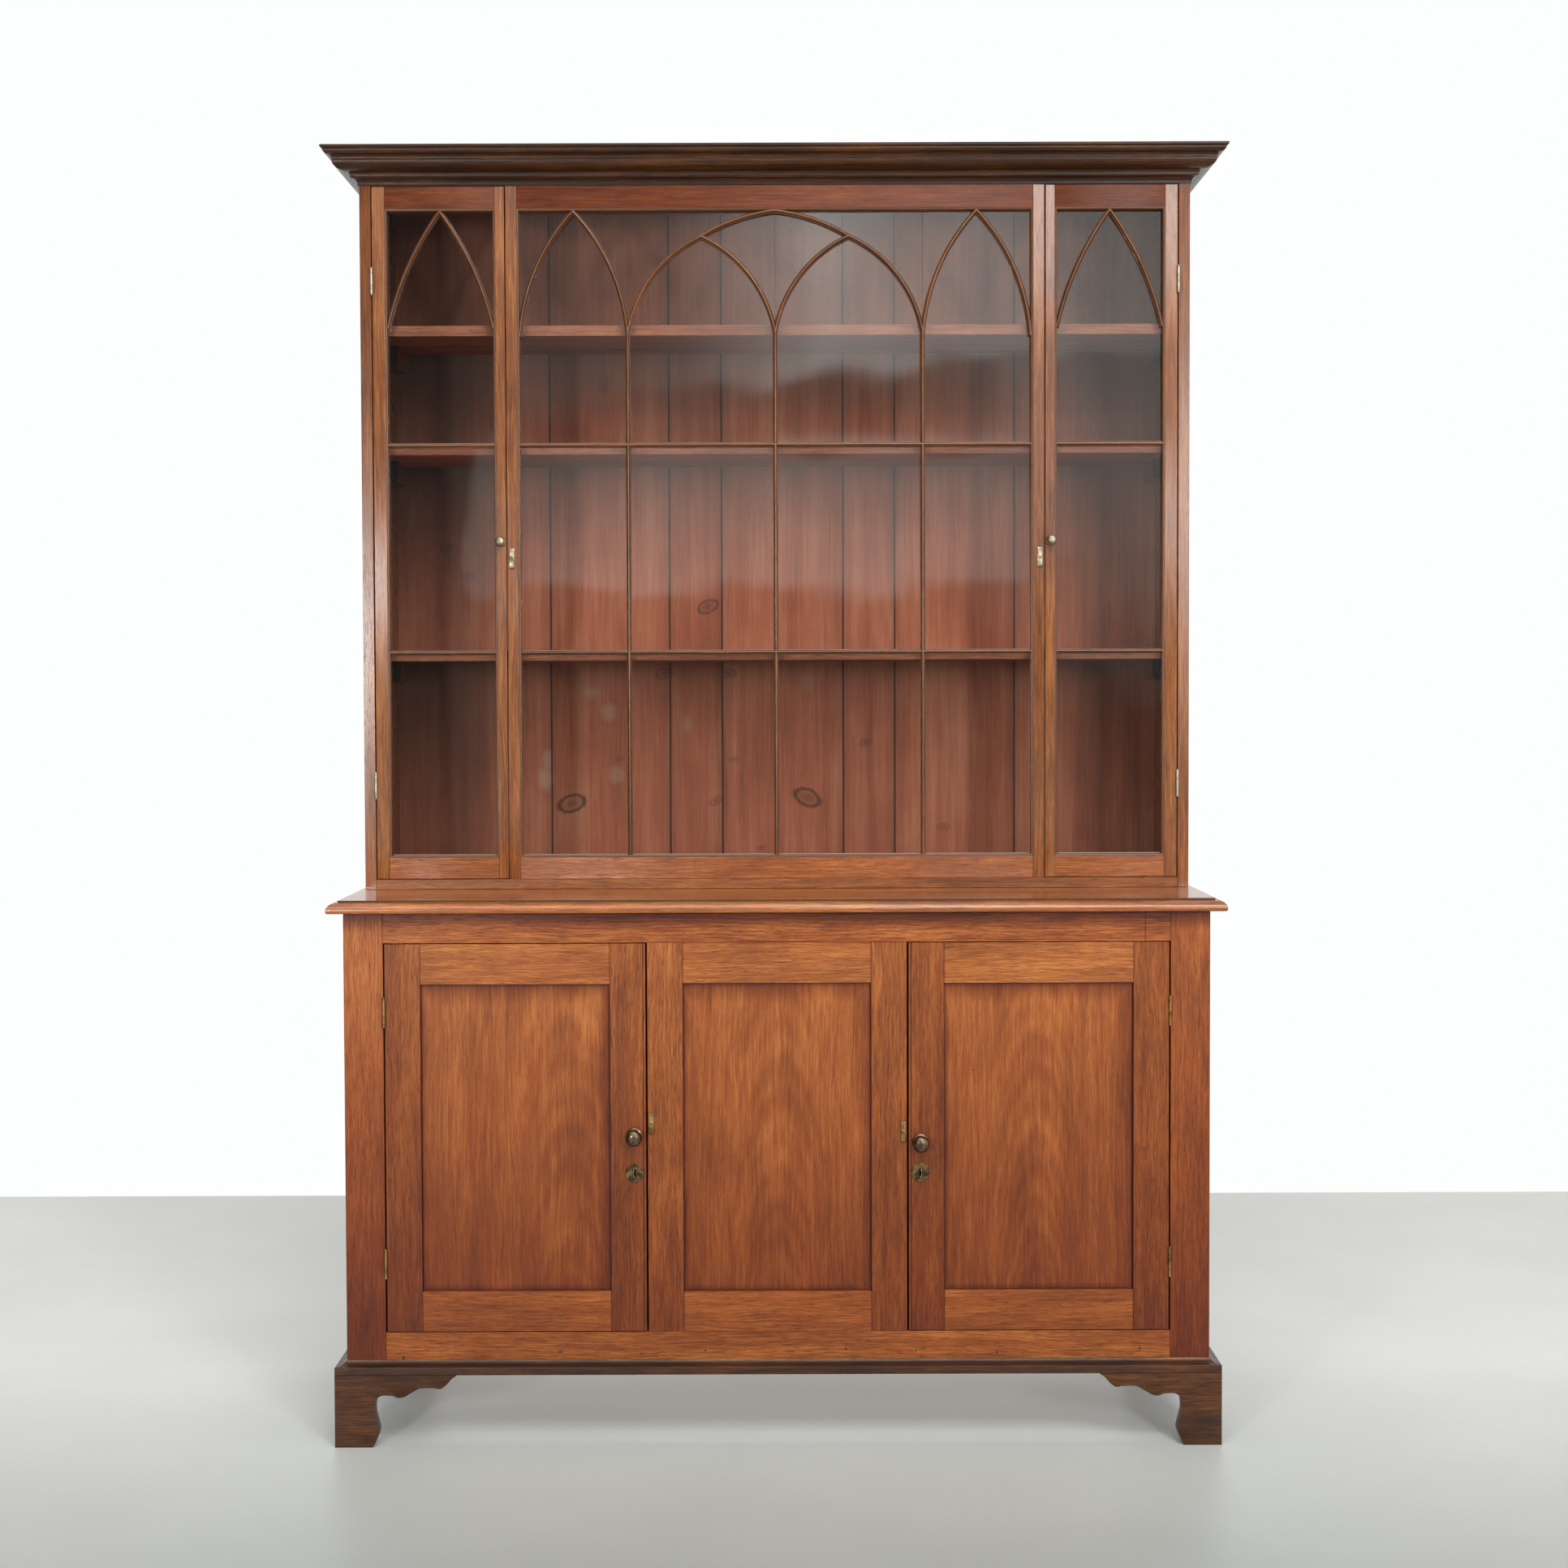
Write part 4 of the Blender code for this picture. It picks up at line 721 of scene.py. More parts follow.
# each turn: start, end, hollow or round, steps, then the points of the small step after it
TURN_SHARES = (
    ((0.04, 0.04), (0.19, 0.19), False, 10, [(0.195, 0.205), (0.215, 0.21), (0.23, 0.222)]),
    ((0.23, 0.235), (0.30, 0.35), False, 10, []),
    ((0.30, 0.35), (0.70, 0.61), True, 22, [(0.685, 0.625), (0.685, 0.635)]),
    ((0.70, 0.65), (0.80, 0.76), False, 10, []),
    ((0.80, 0.76), (0.93, 0.88), True, 10, [
        (0.925, 0.895), (0.945, 0.905), (0.955, 0.92), (0.985, 0.925), (1.0, 0.94), (1.0, 0.99),
        (0.99, 1.0), (0.012, 1.0), (0.012, 0.0)]))
shares = [(0.04, 0.0), (0.04, 0.04)]
for start, end, hollow, steps, after in TURN_SHARES:
    shares += [start, *quarter_turn(start, end, hollow, steps), *after]
shares = np.array(shares)
# painted shade: the cornice's lowest 13 mm are darker, where its underside is in shade
CORNICE_WOOD = mahogany("dark stained cornice mahogany", DARK_TONES, along="board", gloss=0.3,
                        contrast=1.1, fade=(0.4, 1), span=(low.z, low.z + 13 * MM))
piece("cornice_moulding", "root", "dark_mahogany", CORNICE_WOOD,
      *mitred_lengths(shares * (reach, rise), CASE_FACE, low.z), replaces=["cornice"])

# %% The plinth moulding
low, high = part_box("plinth_moulding")
reach, rise = high.x - HALF, high.z - low.z
shares = np.concatenate([[(0.03, 0.0), (0.97, 0.0), (1.0, 0.03), (1.0, 0.56), (0.985, 0.60),
                          (0.93, 0.625)], quarter_turn((0.93, 0.63), (0.10, 0.985), True, 14),
                         [(0.03, 1.0)]])
# dust lies on the topmost three millimetres
PLINTH_WOOD = mahogany("dark stained plinth mahogany", DARK_TONES, along="board", shift=3.0,
                       gloss=0.34, contrast=1.2, fade=(0.86, 3.0),
                       span=(high.z - 3.0 * MM, high.z - 1.2 * MM))
piece("plinth_lengths", "root", "dark_mahogany", PLINTH_WOOD,
      *mitred_lengths(shares * (reach, rise), FRONT, low.z), replaces=["plinth_moulding"])

# %% [markdown]
# ## The cupboard's top
# One wide board, flat and waxed like a mirror, with a thumb moulding worked on three edges: a
# rounded nose below, a swelling ovolo and a fine step at the edge of the flat. Its outline is
# raised level by level, so the board and its moulding are one skin: at each level the plan is a
# rectangle that reaches r further, and the wide lids are its flat faces.

# %% Top board
def levelled(section, foot):
    """A board built of level plans: plan i is a rectangle that reaches section[i, 0] further."""
    reach, rise = section[:, 0], section[:, 1] + foot
    cells = np.zeros((len(section), 4, 3))
    cells[:, :, 0] = (HALF + reach)[:, None] * np.array([-1, 1, 1, -1])
    cells[:, :2, 1] = (FRONT - reach)[:, None]
    cells[:, 2:, 1] = BACK
    cells[:, :, 2] = rise[:, None]
    return skin(cells)


low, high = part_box("base_top")
reach, rise = high.x - HALF, high.z - low.z
section = np.concatenate([[(0.022, 0.0)], quarter_turn((0.022, 0.0), (0.026, 0.004), True, 6),
                          quarter_turn((0.026, 0.0055), (0.0078, 0.0192), False, 16),
                          [(0.0070, 0.0194), (0.0070, 0.0216), (0.0066, 0.022)]])
# the section was drawn 26 mm deep and 22 mm high
section *= (reach / 0.026, rise / 0.022)
TOP_WOOD = mahogany("waxed top mahogany", RAIL_TONES, along="X", shift=1.5, gloss=0.14,
                    fade=(1, 1), shine=0.6)
piece("top_board", "root", "mahogany", TOP_WOOD, levelled(section, low.z), replaces=["base_top"])
# painted shadow with dust: a dark strip, flecked pale, lies in the step at the flat's edge
STEP_SHADE_AND_DUST = speckled("painted step shadow with wax and dust", 90.0, 6.0,
                ((0, "#1C110B"), (0.54, "#3A271B"), (0.66, "#9A8A78"), (1, "#B8AB9B")), 0.85,
                unevenness=0.8)
strip = np.array([(7.0, 19.5), (7.6, 19.5), (7.25, 21.9), (7.0, 21.9)]) * MM
piece("top_step_shade_and_dust", "root", "dark_mahogany", STEP_SHADE_AND_DUST, mitred_lengths(strip, FRONT, low.z)[0])

# %% [markdown]
# ## Bracket feet
# Each front foot is two boards sawn to the same scroll and joined at the corner. A board is
# stretched between two lines in its own plane: an outer line up the corner and along the top,
# and an inner line along the scroll. Place t on one line faces place t on the other, and a
# rectangle with softened corners spans them. The saw cut's edge is eased by a millimetre.

# %% Feet
SCROLL = drawn([(0.307, 0.0), (0.357, 0.20), (0.345, 0.34), (0.327, 0.47), (0.327, 0.60),
                (0.345, 0.68), (0.39, 0.72), (0.475, 0.715), (0.505, 0.69), (0.53, 0.687),
                (0.565, 0.70), (0.60, 0.735), (0.65, 0.785), (0.70, 0.822), (0.80, 0.822),
                (0.83, 0.812), (0.862, 0.812), (0.895, 0.85), (0.925, 0.90), (0.95, 0.95),
                (0.985, 0.99)], 6)


def scrolled_board(span, height, thick, ease=1.2 * MM):
    """A sawn bracket in its own plane: inward from the corner, up, and through its thickness.

    Point = outer + (inner - outer) x s, where s runs 0 to 1 with its last millimetres eased.
    """
    inner = SCROLL * (span, height)
    # the outer line goes up the corner and along the top, in step with the scroll's length
    run = lengths(inner)
    share = run / run[-1]
    bend = 0.42
    outer = np.where((share < bend)[:, None],
                     np.stack([share * 0, share / bend * height], 1),
                     np.stack([(share - bend) / (1 - bend) * inner[-1, 0], share * 0 + height], 1))
    wide = np.maximum(np.hypot(*(inner - outer).T), ease * 2.5)
    loop = np.array([(0, 0, 0, 0.0), (1, -1, 0, 0.0), (1, -0.3, 0, 0.3), (1, 0, 0, 1.0),
                     (1, 0, 1, -1.0), (1, -0.3, 1, -0.3), (1, -1, 1, 0.0), (0, 0, 1, 0.0)])
    s = loop[None, :, 0] + loop[None, :, 1] * ease / wide[:, None]
    depth = loop[:, 2] * thick + loop[:, 3] * ease
    flat = outer[:, None, :] + (inner - outer)[:, None, :] * s[:, :, None]
    return np.concatenate([flat, np.broadcast_to(depth[None, :, None], flat.shape[:2] + (1,))], -1)


def place_board(cells, corner, inward, up, through, shift):
    """Carry a board's own (inward, up, through) places into the scene, with its grain level."""
    flat = cells.reshape(-1, 3)
    placed = np.array(corner) + flat @ np.array([inward, up, through], float)
    grain = np.stack([flat[:, 0] + shift, flat[:, 1], flat[:, 2]], 1)
    return skin(placed.reshape(cells.shape)), grain


FOOT_WOOD = mahogany("dark stained foot mahogany", FOOT_TONES, along="board", contrast=1.2,
                     fade=(1, 1))
FOOT_BOARD, REAR_SPAN = 25 * MM, 95 * MM
for number, (side, sign) in enumerate(SIDES):
    low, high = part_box(f"foot_front_{side}")
    edge = low.x if sign < 0 else high.x
    height, thick = high.z - low.z, FOOT_BOARD
    face = scrolled_board(high.x - low.x, height, thick)
    flank = scrolled_board(high.y - low.y, height, thick)
    parts = [place_board(face, (edge, low.y, 0), (-sign, 0, 0), (0, 0, 1), (0, 1, 0),
                         number * 2.1),
             place_board(flank, (edge - sign * 0.15 * MM, low.y + thick * 0.02, 0), (0, 1, 0),
                         (0, 0, 1), (-sign, 0, 0), number * 2.1 + 1.3)]
    piece(f"foot_{side}", "root", "dark_mahogany", FOOT_WOOD, *together(parts),
          replaces=[f"foot_front_{side}"])
    low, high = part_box(f"foot_rear_{side}")
    flank = scrolled_board(high.y - low.y, height, thick)
    x0, x1 = sorted((edge - sign * thick, edge - sign * REAR_SPAN))
    parts = [place_board(flank, (edge, high.y, 0), (0, -1, 0), (0, 0, 1), (-sign, 0, 0),
                         number * 2.1 + 5.0),
             board((x0, BACK - thick, 0), (x1, BACK, height), "X")]
    piece(f"foot_back_{side}", "root", "dark_mahogany", FOOT_WOOD, *together(parts),
          replaces=[f"foot_rear_{side}"])

# %% [markdown]
# ## Glazed frames
# A glazed door is two stiles and two rails with a small moulding worked on the edge next to the
# glass, and thin bars that carry the panes. The bars are astragals: a round ridge on a wider
# flat, so that each shows as two fine lines with a light between them. The moulding is four
# mitred lengths round the opening. A bar is its section carried along a line or a circle.

# %% Members and mouldings of a glazed frame
BEAD = np.array([(0.0, 0.0), (0.35, 0.05), (0.5, 0.9), (1.0, 0.9), (1.15, 0.3), (1.7, 0.02),
                 (2.4, 0.12), (3.1, 0.6), (3.7, 1.5), (4.0, 2.8), (4.2, 4.2), (4.2, 12.2),
                 (0.0, 12.2)]) * MM
ASTRAGAL = np.array([(-4.25, 12.2), (-4.25, 6.6), (-4.0, 6.1), (-3.1, 5.6), (-2.5, 4.4),
                     (-2.3, 2.4), (-1.9, 1.1), (-1.1, 0.25), (0, 0.0)])
ASTRAGAL = np.concatenate([ASTRAGAL, ASTRAGAL[-2::-1] * (-1, 1)]) * MM


def sight_lengths(x0, x1, z0, z1, section):
    """Four mitred lengths inside a rectangle. section is rows of (inward, depth), in metres."""
    inward, depth = section[:, 0], section[:, 1] + CASE_FACE
    parts = []
    corners = ((x0, z0, 1, 1), (x1, z0, -1, 1), (x1, z1, -1, -1), (x0, z1, 1, -1))
    for number in range(4):
        ends = corners[number], corners[(number + 1) % 4]
        cells = np.stack([np.stack([ex + sx * inward, depth, ez + sz * inward], -1)
                          for ex, ez, sx, sz in ends])
        parts.append(planed(cells, 2 * (number % 2), lengths(section), number * 1.9, x0 + number))
    return together(parts)


def bar(path, section=ASTRAGAL, shift=0.0, face=CASE_FACE):
    """A glazing bar along a line of (x, z): point + sideways x offset, at the section's depth."""
    step = np.gradient(path, axis=0)
    step /= np.hypot(*step.T)[:, None]
    sideways = np.stack([-step[:, 1], step[:, 0]], 1)
    flat = path[:, None, :] + sideways[:, None, :] * section[None, :, :1]
    depth = np.broadcast_to(section[None, :, 1] + face, flat.shape[:2])
    cells = np.stack([flat[..., 0], depth, flat[..., 1]], -1)
    run = lengths(path)
    grain = np.stack([np.broadcast_to(run[:, None] + shift, depth.shape),
                      np.broadcast_to(section[None, :, 0], depth.shape), depth], -1)
    return skin(cells), grain.reshape(-1, 3)


def bowed(start, end, bow_share, bulge, steps=28):
    """Points of a circular arc: radius = chord^2 / (8 bow) + bow / 2, bow = chord x its share."""
    start, end = np.array(start, float), np.array(end, float)
    chord = end - start
    long = np.hypot(*chord)
    bow = long * bow_share
    radius = long ** 2 / (8 * bow) + bow / 2
    left = np.array([-chord[1], chord[0]]) / long
    centre = (start + end) / 2 + left * bulge * (bow - radius)
    first, last = start - centre, end - centre
    a0, a1 = math.atan2(first[1], first[0]), math.atan2(last[1], last[0])
    # the shorter way round
    a1 = a0 + (a1 - a0 + math.pi) % (2 * math.pi) - math.pi
    turn = np.linspace(a0, a1, steps + 1)
    return centre + radius * np.stack([np.cos(turn), np.sin(turn)], 1)


# %% The three glazed frames
REBATE, BAR_DROP = 5.7 * MM, 4.5 * MM
GLASS_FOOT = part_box("case_centre_glass")[0].z + REBATE
GLASS_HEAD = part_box("case_centre_glass")[1].z - REBATE
BAR_HEIGHTS = (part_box("shelf_lower")[1].z - BAR_DROP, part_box("shelf_middle")[1].z - BAR_DROP)
PITCH = 267 * MM
# painted shade: the case's stiles, and much more its rails, darken towards the top, under the
# cornice
FRAME_WOOD = mahogany("case frame mahogany", CASE_TONES, along="board", fade=(1.0, 0.92),
                      span=(1.3, 2.2), gloss=0.18, shine=0.5, contrast=1.1, pores=0.45)
RAIL_WOOD = mahogany("case rail mahogany", CASE_RAIL_TONES, along="board", shift=2.0,
                     fade=(1.0, 0.46), span=(1.3, 2.2), gloss=0.26, pores=0.75)
BEAD_WOOD = mahogany("glazing bar mahogany", ("#1C0D06", "#43230F", "#663D1D", "#8C5831"),
                     along="board", gloss=0.25, fade=(1, 1), shine=0.6)


def pointed(left, right, foot, head, share):
    """The two arcs of a pointed arch."""
    crown = ((left + right) / 2, head)
    return [((left, foot), crown, share, 1), ((right, foot), crown, share, -1)]


def body_of(key):
    """The body that a glazed frame, its panes and its dust line ride on."""
    return "root" if key == "case_centre" else key.replace("glass_door", "glazed_door")


def glazed_frame(key, stiles, uprights, arcs):
    """Stiles, rails, sight mouldings and bars of one frame, as three pieces in its solid's place."""
    low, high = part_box(f"{key}_frame")
    body, rear = body_of(key), high.y
    flat = 4.0 * MM
    x0, x1 = low.x + stiles[0], high.x - stiles[1]
    z0, z1 = GLASS_FOOT, GLASS_HEAD
    outer = (x0 - flat, x1 + flat, z0 - flat, z1 + flat)
    gap = 0.1 * MM
    upright = [board((low.x, low.y, low.z), (outer[0], rear, high.z), "Z", shift=low.x * 9),
               board((outer[1], low.y, low.z), (high.x, rear, high.z), "Z", shift=high.x * 9 + 3)]
    level = [board((outer[0] + gap, low.y, low.z), (outer[1] - gap, rear, outer[2]), "X",
                   ease=0.5 * MM, shift=1.1),
             board((outer[0] + gap, low.y, outer[3]), (outer[1] - gap, rear, high.z), "X",
                   ease=0.5 * MM, shift=8.7)]
    piece(f"{key}_stiles", body, "mahogany", FRAME_WOOD, *together(upright), BOARD_CREASE,
          replaces=[f"{key}_frame"])
    piece(f"{key}_rails", body, "mahogany", RAIL_WOOD, *together(level), BOARD_CREASE)
    parts = [sight_lengths(*outer, BEAD)]
    for number, height in enumerate(BAR_HEIGHTS):
        parts.append(bar(np.array([(x0 - flat / 2, height), (x1 + flat / 2, height)]),
                         shift=number * 1.7))
    for number, (x, head) in enumerate(uprights):
        parts.append(bar(np.array([(x, z0 - flat / 2), (x, head)]), shift=number * 2.3))
    for number, arc in enumerate(arcs):
        parts.append(bar(bowed(*arc), shift=number * 0.9))
    piece(f"{key}_bars", body, "mahogany", BEAD_WOOD, *together(parts))
    return x0, x1


HINGE_STILE, MEETING_STILE, CENTRE_STILE = 27 * MM, 21 * MM, 24.5 * MM
openings = {}
for side, sign in SIDES:
    key = f"glass_door_{side}"
    low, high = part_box(f"{key}_frame")
    stiles = (HINGE_STILE, MEETING_STILE)[::-sign]
    arcs = pointed(low.x + stiles[0], high.x - stiles[1], GLASS_HEAD - 210.5 * MM, GLASS_HEAD,
                   0.052)
    openings[key] = glazed_frame(key, stiles, [], arcs)
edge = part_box("case_centre_frame")[1].x - CENTRE_STILE
middle_foot, crossing = GLASS_HEAD - 219 * MM, GLASS_HEAD - 45.7 * MM
arcs = []
for sign in (-1, 1):
    inner, outer = sign * PITCH, sign * edge
    arcs += pointed(min(inner, outer), max(inner, outer), GLASS_HEAD - 226 * MM, GLASS_HEAD, 0.0875)
    arcs += pointed(min(inner, 0), max(inner, 0), middle_foot, crossing, 0.124)
    arcs.append(((inner / 2, crossing), (0, GLASS_HEAD), 0.054, -sign))
uprights = [(x, middle_foot + BAR_WIDTH) for x in (-PITCH, 0, PITCH)]
openings["case_centre"] = glazed_frame("case_centre", (CENTRE_STILE,) * 2, uprights, arcs)

# %% [markdown]
# ## Panes
# Old panes were cut one by one and puttied in behind the bars, so no two lie quite in one plane,
# and each mirrors a slightly different part of the room. Each pane is a thin box whose face is
# tipped by a fifth of a degree at most, from a fixed list of tilts.

# %% Glass
def pane(x0, x1, z0, z1, tip, lean, thick=2.0 * MM):
    """A thin pane: depth = base + tip x across + lean x up, measured from the pane's middle."""
    x = np.array([x0, x1, x1, x0])
    z = np.array([z0, z0, z1, z1])
    depth = CASE_FACE + GLASS_DEPTH + 0.9 * MM + tip * (x - x.mean()) + lean * (z - z.mean())
    return skin(np.stack([np.stack([x, depth, z], -1), np.stack([x, depth + thick, z], -1)]))


# in radians, before each pane's own shares of them
TILTS = np.sin(np.arange(40) * 2.4) * 0.0030
floors = (GLASS_FOOT, *BAR_HEIGHTS, GLASS_HEAD)
number = 0
for key, (x0, x1) in openings.items():
    columns = (x0, -PITCH, 0, PITCH, x1) if key == "case_centre" else (x0, x1)
    panes = []
    for left, right in zip(columns, columns[1:]):
        for foot, head in zip(floors, floors[1:]):
            panes.append(pane(left + CLEARANCE, right - CLEARANCE, foot + CLEARANCE,
                              head - CLEARANCE, TILTS[number] * 0.8, TILTS[number + 11] * 0.7))
            number += 1
    piece(f"{key}_panes", body_of(key), "glass", GLASS, joined(panes), replaces=[f"{key}_glass"])

# %% [markdown]
# ## Small things at the glass
# Each shelf rests on bearers whose dark front ends are blocks with a rounded foot. Dust and old
# putty draw a pale line, a millimetre high, where the lowest panes meet their rail.

# %% Bearer noses and dust lines
DUST = speckled("dust and old putty", 260.0, 3.0, ((0, "#6B4A38"), (1, "#C9B7A6")), 0.8)
NOSE_TONES = ("#080403", "#140B07", "#24150C", "#392412")
NOSE_WOOD = mahogany("dark stained bearer mahogany", NOSE_TONES, along="Y", fade=(1, 1))
BEARER = (22 * MM, 38 * MM)
SETBACK = 130 * MM
NOSE_LENGTH = 15.5 * MM
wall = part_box("case_bottom")[1].x


def nose(side, top, front):
    """A block under a shelf's end, seen from ahead: its foot is half a circle."""
    wide, tall = BEARER
    radius = wide / 2
    turn = np.linspace(0, -math.pi, 16)
    line = np.concatenate([[(0.0, 0.0), (wide, 0.0)],
                           np.stack([radius + radius * np.cos(turn),
                                     radius - tall + radius * np.sin(turn)], 1)])
    cells = np.zeros((2, len(line), 3))
    cells[:, :, 0] = side * (wall - line[:, 0])
    cells[:, :, 1] = np.array([front, front + NOSE_LENGTH])[:, None]
    cells[:, :, 2] = top + line[:, 1]
    return skin(cells)


noses = []
for level in LEVELS:
    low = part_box(f"shelf_{level}")[0]
    noses += [nose(side, low.z - CLEARANCE, low.y + SETBACK - NOSE_LENGTH) for side in (-1, 1)]
piece("bearer_noses", "root", "dark_mahogany", NOSE_WOOD, joined(noses))
for key, (x0, x1) in openings.items():
    line = board((x0 + 1 * MM, CASE_FACE + GLASS_DEPTH - 1.2 * MM, GLASS_FOOT + 0.1 * MM),
                 (x1 - 1 * MM, CASE_FACE + GLASS_DEPTH + 0.2 * MM, GLASS_FOOT + 1.3 * MM), "X",
                 ease=0.2 * MM)[0]
    piece(f"{key}_dust_line", body_of(key), "glass", DUST, line)

# %% [markdown]
# ## Knobs
# Knobs are turned: a line of (radius, reach) spun round an axis that points out of the front.
# Each corner is (x + r cos a, face - reach, z + r sin a). A lathe modifier would do, but the
# formula keeps the piece unturned at the origin, where its pattern stays put.

# %% Turned pieces
def spun(profile, centre, steps=48, upright=False):
    """A profile of (radius, reach) turned about -Y through a centre, or about Z if upright."""
    turn = circle(steps)[None, :]
    r, reach = profile[:, :1], np.broadcast_to(profile[:, 1:], (len(profile), steps))
    a, b = r * np.cos(turn), r * np.sin(turn)
    cells = np.stack([a, b, reach], -1) if upright else np.stack([a, -reach, b], -1)
    return skin(cells + np.array(centre))


def knob(name, body, slot, look, solid, face):
    """A turned knob: dome, neck and wide collar as one line from its tip to its seat."""
    low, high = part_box(solid)
    radius, reach = (high.x - low.x) / 2, face - low.y
    centre = ((low.x + high.x) / 2, face, (low.z + high.z) / 2)
    dome = drawn([(0.001, 1.0), (0.30, 0.992), (0.56, 0.963), (0.80, 0.90), (0.95, 0.80),
                  (1.0, 0.68), (0.95, 0.565), (0.80, 0.47), (0.60, 0.395), (0.47, 0.31),
                  (0.47, 0.22)], 5)
    collar = drawn([(0.50, 0.17), (0.80, 0.135), (0.94, 0.11), (1.0, 0.07), (0.985, 0.012)], 4)
    shares = np.concatenate([dome, collar, [(0.25, 0.012), (0.25, -0.3), (0.001, -0.3)]])
    return piece(name, body, slot, look, spun(shares * (radius, reach), centre), replaces=[solid])


for side in ("left", "right"):
    knob(f"cupboard_knob_{side}", f"cupboard_door_{side}", "bronze", BRONZE,
         f"base_door_{side}_knob", FRONT)
    knob(f"case_knob_{side}", f"glazed_door_{side}", "brass", WORN_BRASS,
         f"glass_door_{side}_knob", CASE_FACE)

# %% [markdown]
# ## Turn catches
# A catch is a small bar of cast brass on one screw. It stands upright when the door is free, and
# is turned level to hold the door. Ends are filed to a bevel and the edges are worn round.

# %% Catches
def catch(side, level, face):
    """A bar whose half width and thickness taper at its ends, its screw and the slot in it."""
    solid = f"{level}_catch_{side}"
    low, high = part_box(solid)
    x, z = (low.x + high.x) / 2, (low.z + high.z) / 2
    half = (high.z - low.z) / 2
    t = np.array([-1, -0.985, -0.93, -0.8, -0.45, 0, 0.45, 0.8, 0.93, 0.985, 1])
    wide = np.interp(np.abs(t), [0, 0.45, 0.8, 0.985, 1], [5.2, 4.6, 4.9, 4.7, 4.3]) * MM
    thick = np.interp(np.abs(t), [0, 0.8, 0.93, 0.985, 1], [3.9, 3.6, 3.0, 2.1, 1.5]) * MM
    turn = circle(24)
    # a power under 1 swells the circle to a square with rounded corners
    square = np.stack([np.cos(turn), np.sin(turn)], 1)
    square = np.sign(square) * np.abs(square) ** 0.35
    cells = np.zeros((len(t), len(turn), 3))
    cells[:, :, 0] = x + wide[:, None] * square[None, :, 0]
    cells[:, :, 1] = face - CLEARANCE - thick[:, None] * (1 + square[None, :, 1]) / 2
    cells[:, :, 2] = z + half * t[:, None]
    dome = drawn([(0.001, 5.2), (1.5, 5.1), (2.7, 4.8), (3.2, 4.3), (3.3, 3.4)], 4)
    dome = np.concatenate([dome, [(1.7, 3.4), (1.7, -9.5), (0.001, -9.5)]]) * MM
    parts = [skin(cells), spun(dome, (x, face, z), 28)]
    piece(f"{level}_turn_{side}", solid, "brass", BRASS if level == "lower" else WORN_BRASS,
          joined(parts), replaces=[solid])
    slot = board((x - 2.6 * MM, face - 5.25 * MM, z - 0.35 * MM),
                 (x + 2.6 * MM, face - 4.6 * MM, z + 0.35 * MM), "X", ease=0.1 * MM)[0]
    piece(f"{level}_turn_slot_{side}", solid, "iron", IRON, slot)


for side in ("left", "right"):
    catch(side, "lower", FRONT)
    catch(side, "upper", CASE_FACE)

# %% [markdown]
# ## Keyhole plates
# A round cast plate with a raised rim, a lipped keyhole and two pins. Its face is a height map
# on a polar grid: the sum of a rim ridge, a lip ridge that follows the keyhole's outline at a
# distance, and two round pin heads, with a deep pit inside the keyhole. A near-black board in the
# pit stands for the lock's iron and is painted shade for the hole, and a bright steel lip follows
# its outer side, rubbed by two centuries of keys.

# %% Plates
def keyhole_plate(side):
    """Polar grid (ring, angle). Height = plate + rim + lip + pins - pit, all from distances."""
    low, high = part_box(f"escutcheon_{side}")
    x, z, radius = (low.x + high.x) / 2, (low.z + high.z) / 2, (high.x - low.x) / 2
    r = np.linspace(0.0, 1.0, 66)[:, None] ** 0.8 * radius
    a = circle(144)[None, :]
    px, pz = r * np.cos(a), r * np.sin(a)
    eye = np.hypot(px, pz - 4.6 * MM) - 2.5 * MM
    tail = np.maximum(np.abs(px) - 1.5 * MM, np.abs(pz + 1.6 * MM) - 6.0 * MM)
    hole = np.minimum(eye, tail)
    height = 1.0 * MM + 0.35 * MM * np.exp(-((r - radius * 0.93) / (0.7 * MM)) ** 2)
    height = height + 0.5 * MM * np.exp(-((hole - 1.0 * MM) / (0.55 * MM)) ** 2)
    for pin in (-1, 1):
        height = height + 0.45 * MM * np.exp(-(np.hypot(px - pin * 11 * MM, pz) / (1.1 * MM)) ** 4)
    height = np.where(hole < 0.05 * MM, -1.5 * MM, height) * (r < radius * 0.999)
    top = np.stack([px, -height, pz], -1)
    under = np.stack([px[-1:], 0 * a, pz[-1:]], -1)
    cells = np.concatenate([top, under, 0 * under]) + np.array((x, FRONT - CLEARANCE, z))
    piece(f"keyhole_plate_{side}", f"cupboard_door_{side}", "brass", PLATE_BRASS, skin(cells),
          replaces=[f"escutcheon_{side}"])
    # painted shade: a near-black board of lock iron fills the keyhole's pit
    within = board((x - 2.9 * MM, FRONT - 0.6 * MM, z - 8.2 * MM),
                   (x + 2.9 * MM, FRONT + 0.6 * MM, z + 7.6 * MM), "Z", ease=0.2 * MM)[0]
    piece(f"keyhole_{side}", f"cupboard_door_{side}", "iron", KEYHOLE_SHADE_IRON, within)
    outward = 1 if side == "right" else -1
    path = bowed((x + outward * 0.4 * MM, z - 7.6 * MM), (x + outward * 0.8 * MM, z + 6.6 * MM),
                 0.12, -outward)
    turn = circle(10)
    wire = np.stack([0.55 * MM * np.cos(turn), 0.5 * MM * np.sin(turn) - 1.25 * MM], 1)
    piece(f"keyhole_lip_{side}", f"cupboard_door_{side}", "iron", STEEL,
          bar(path, wire, face=FRONT)[0])


for side in ("left", "right"):
    keyhole_plate(side)

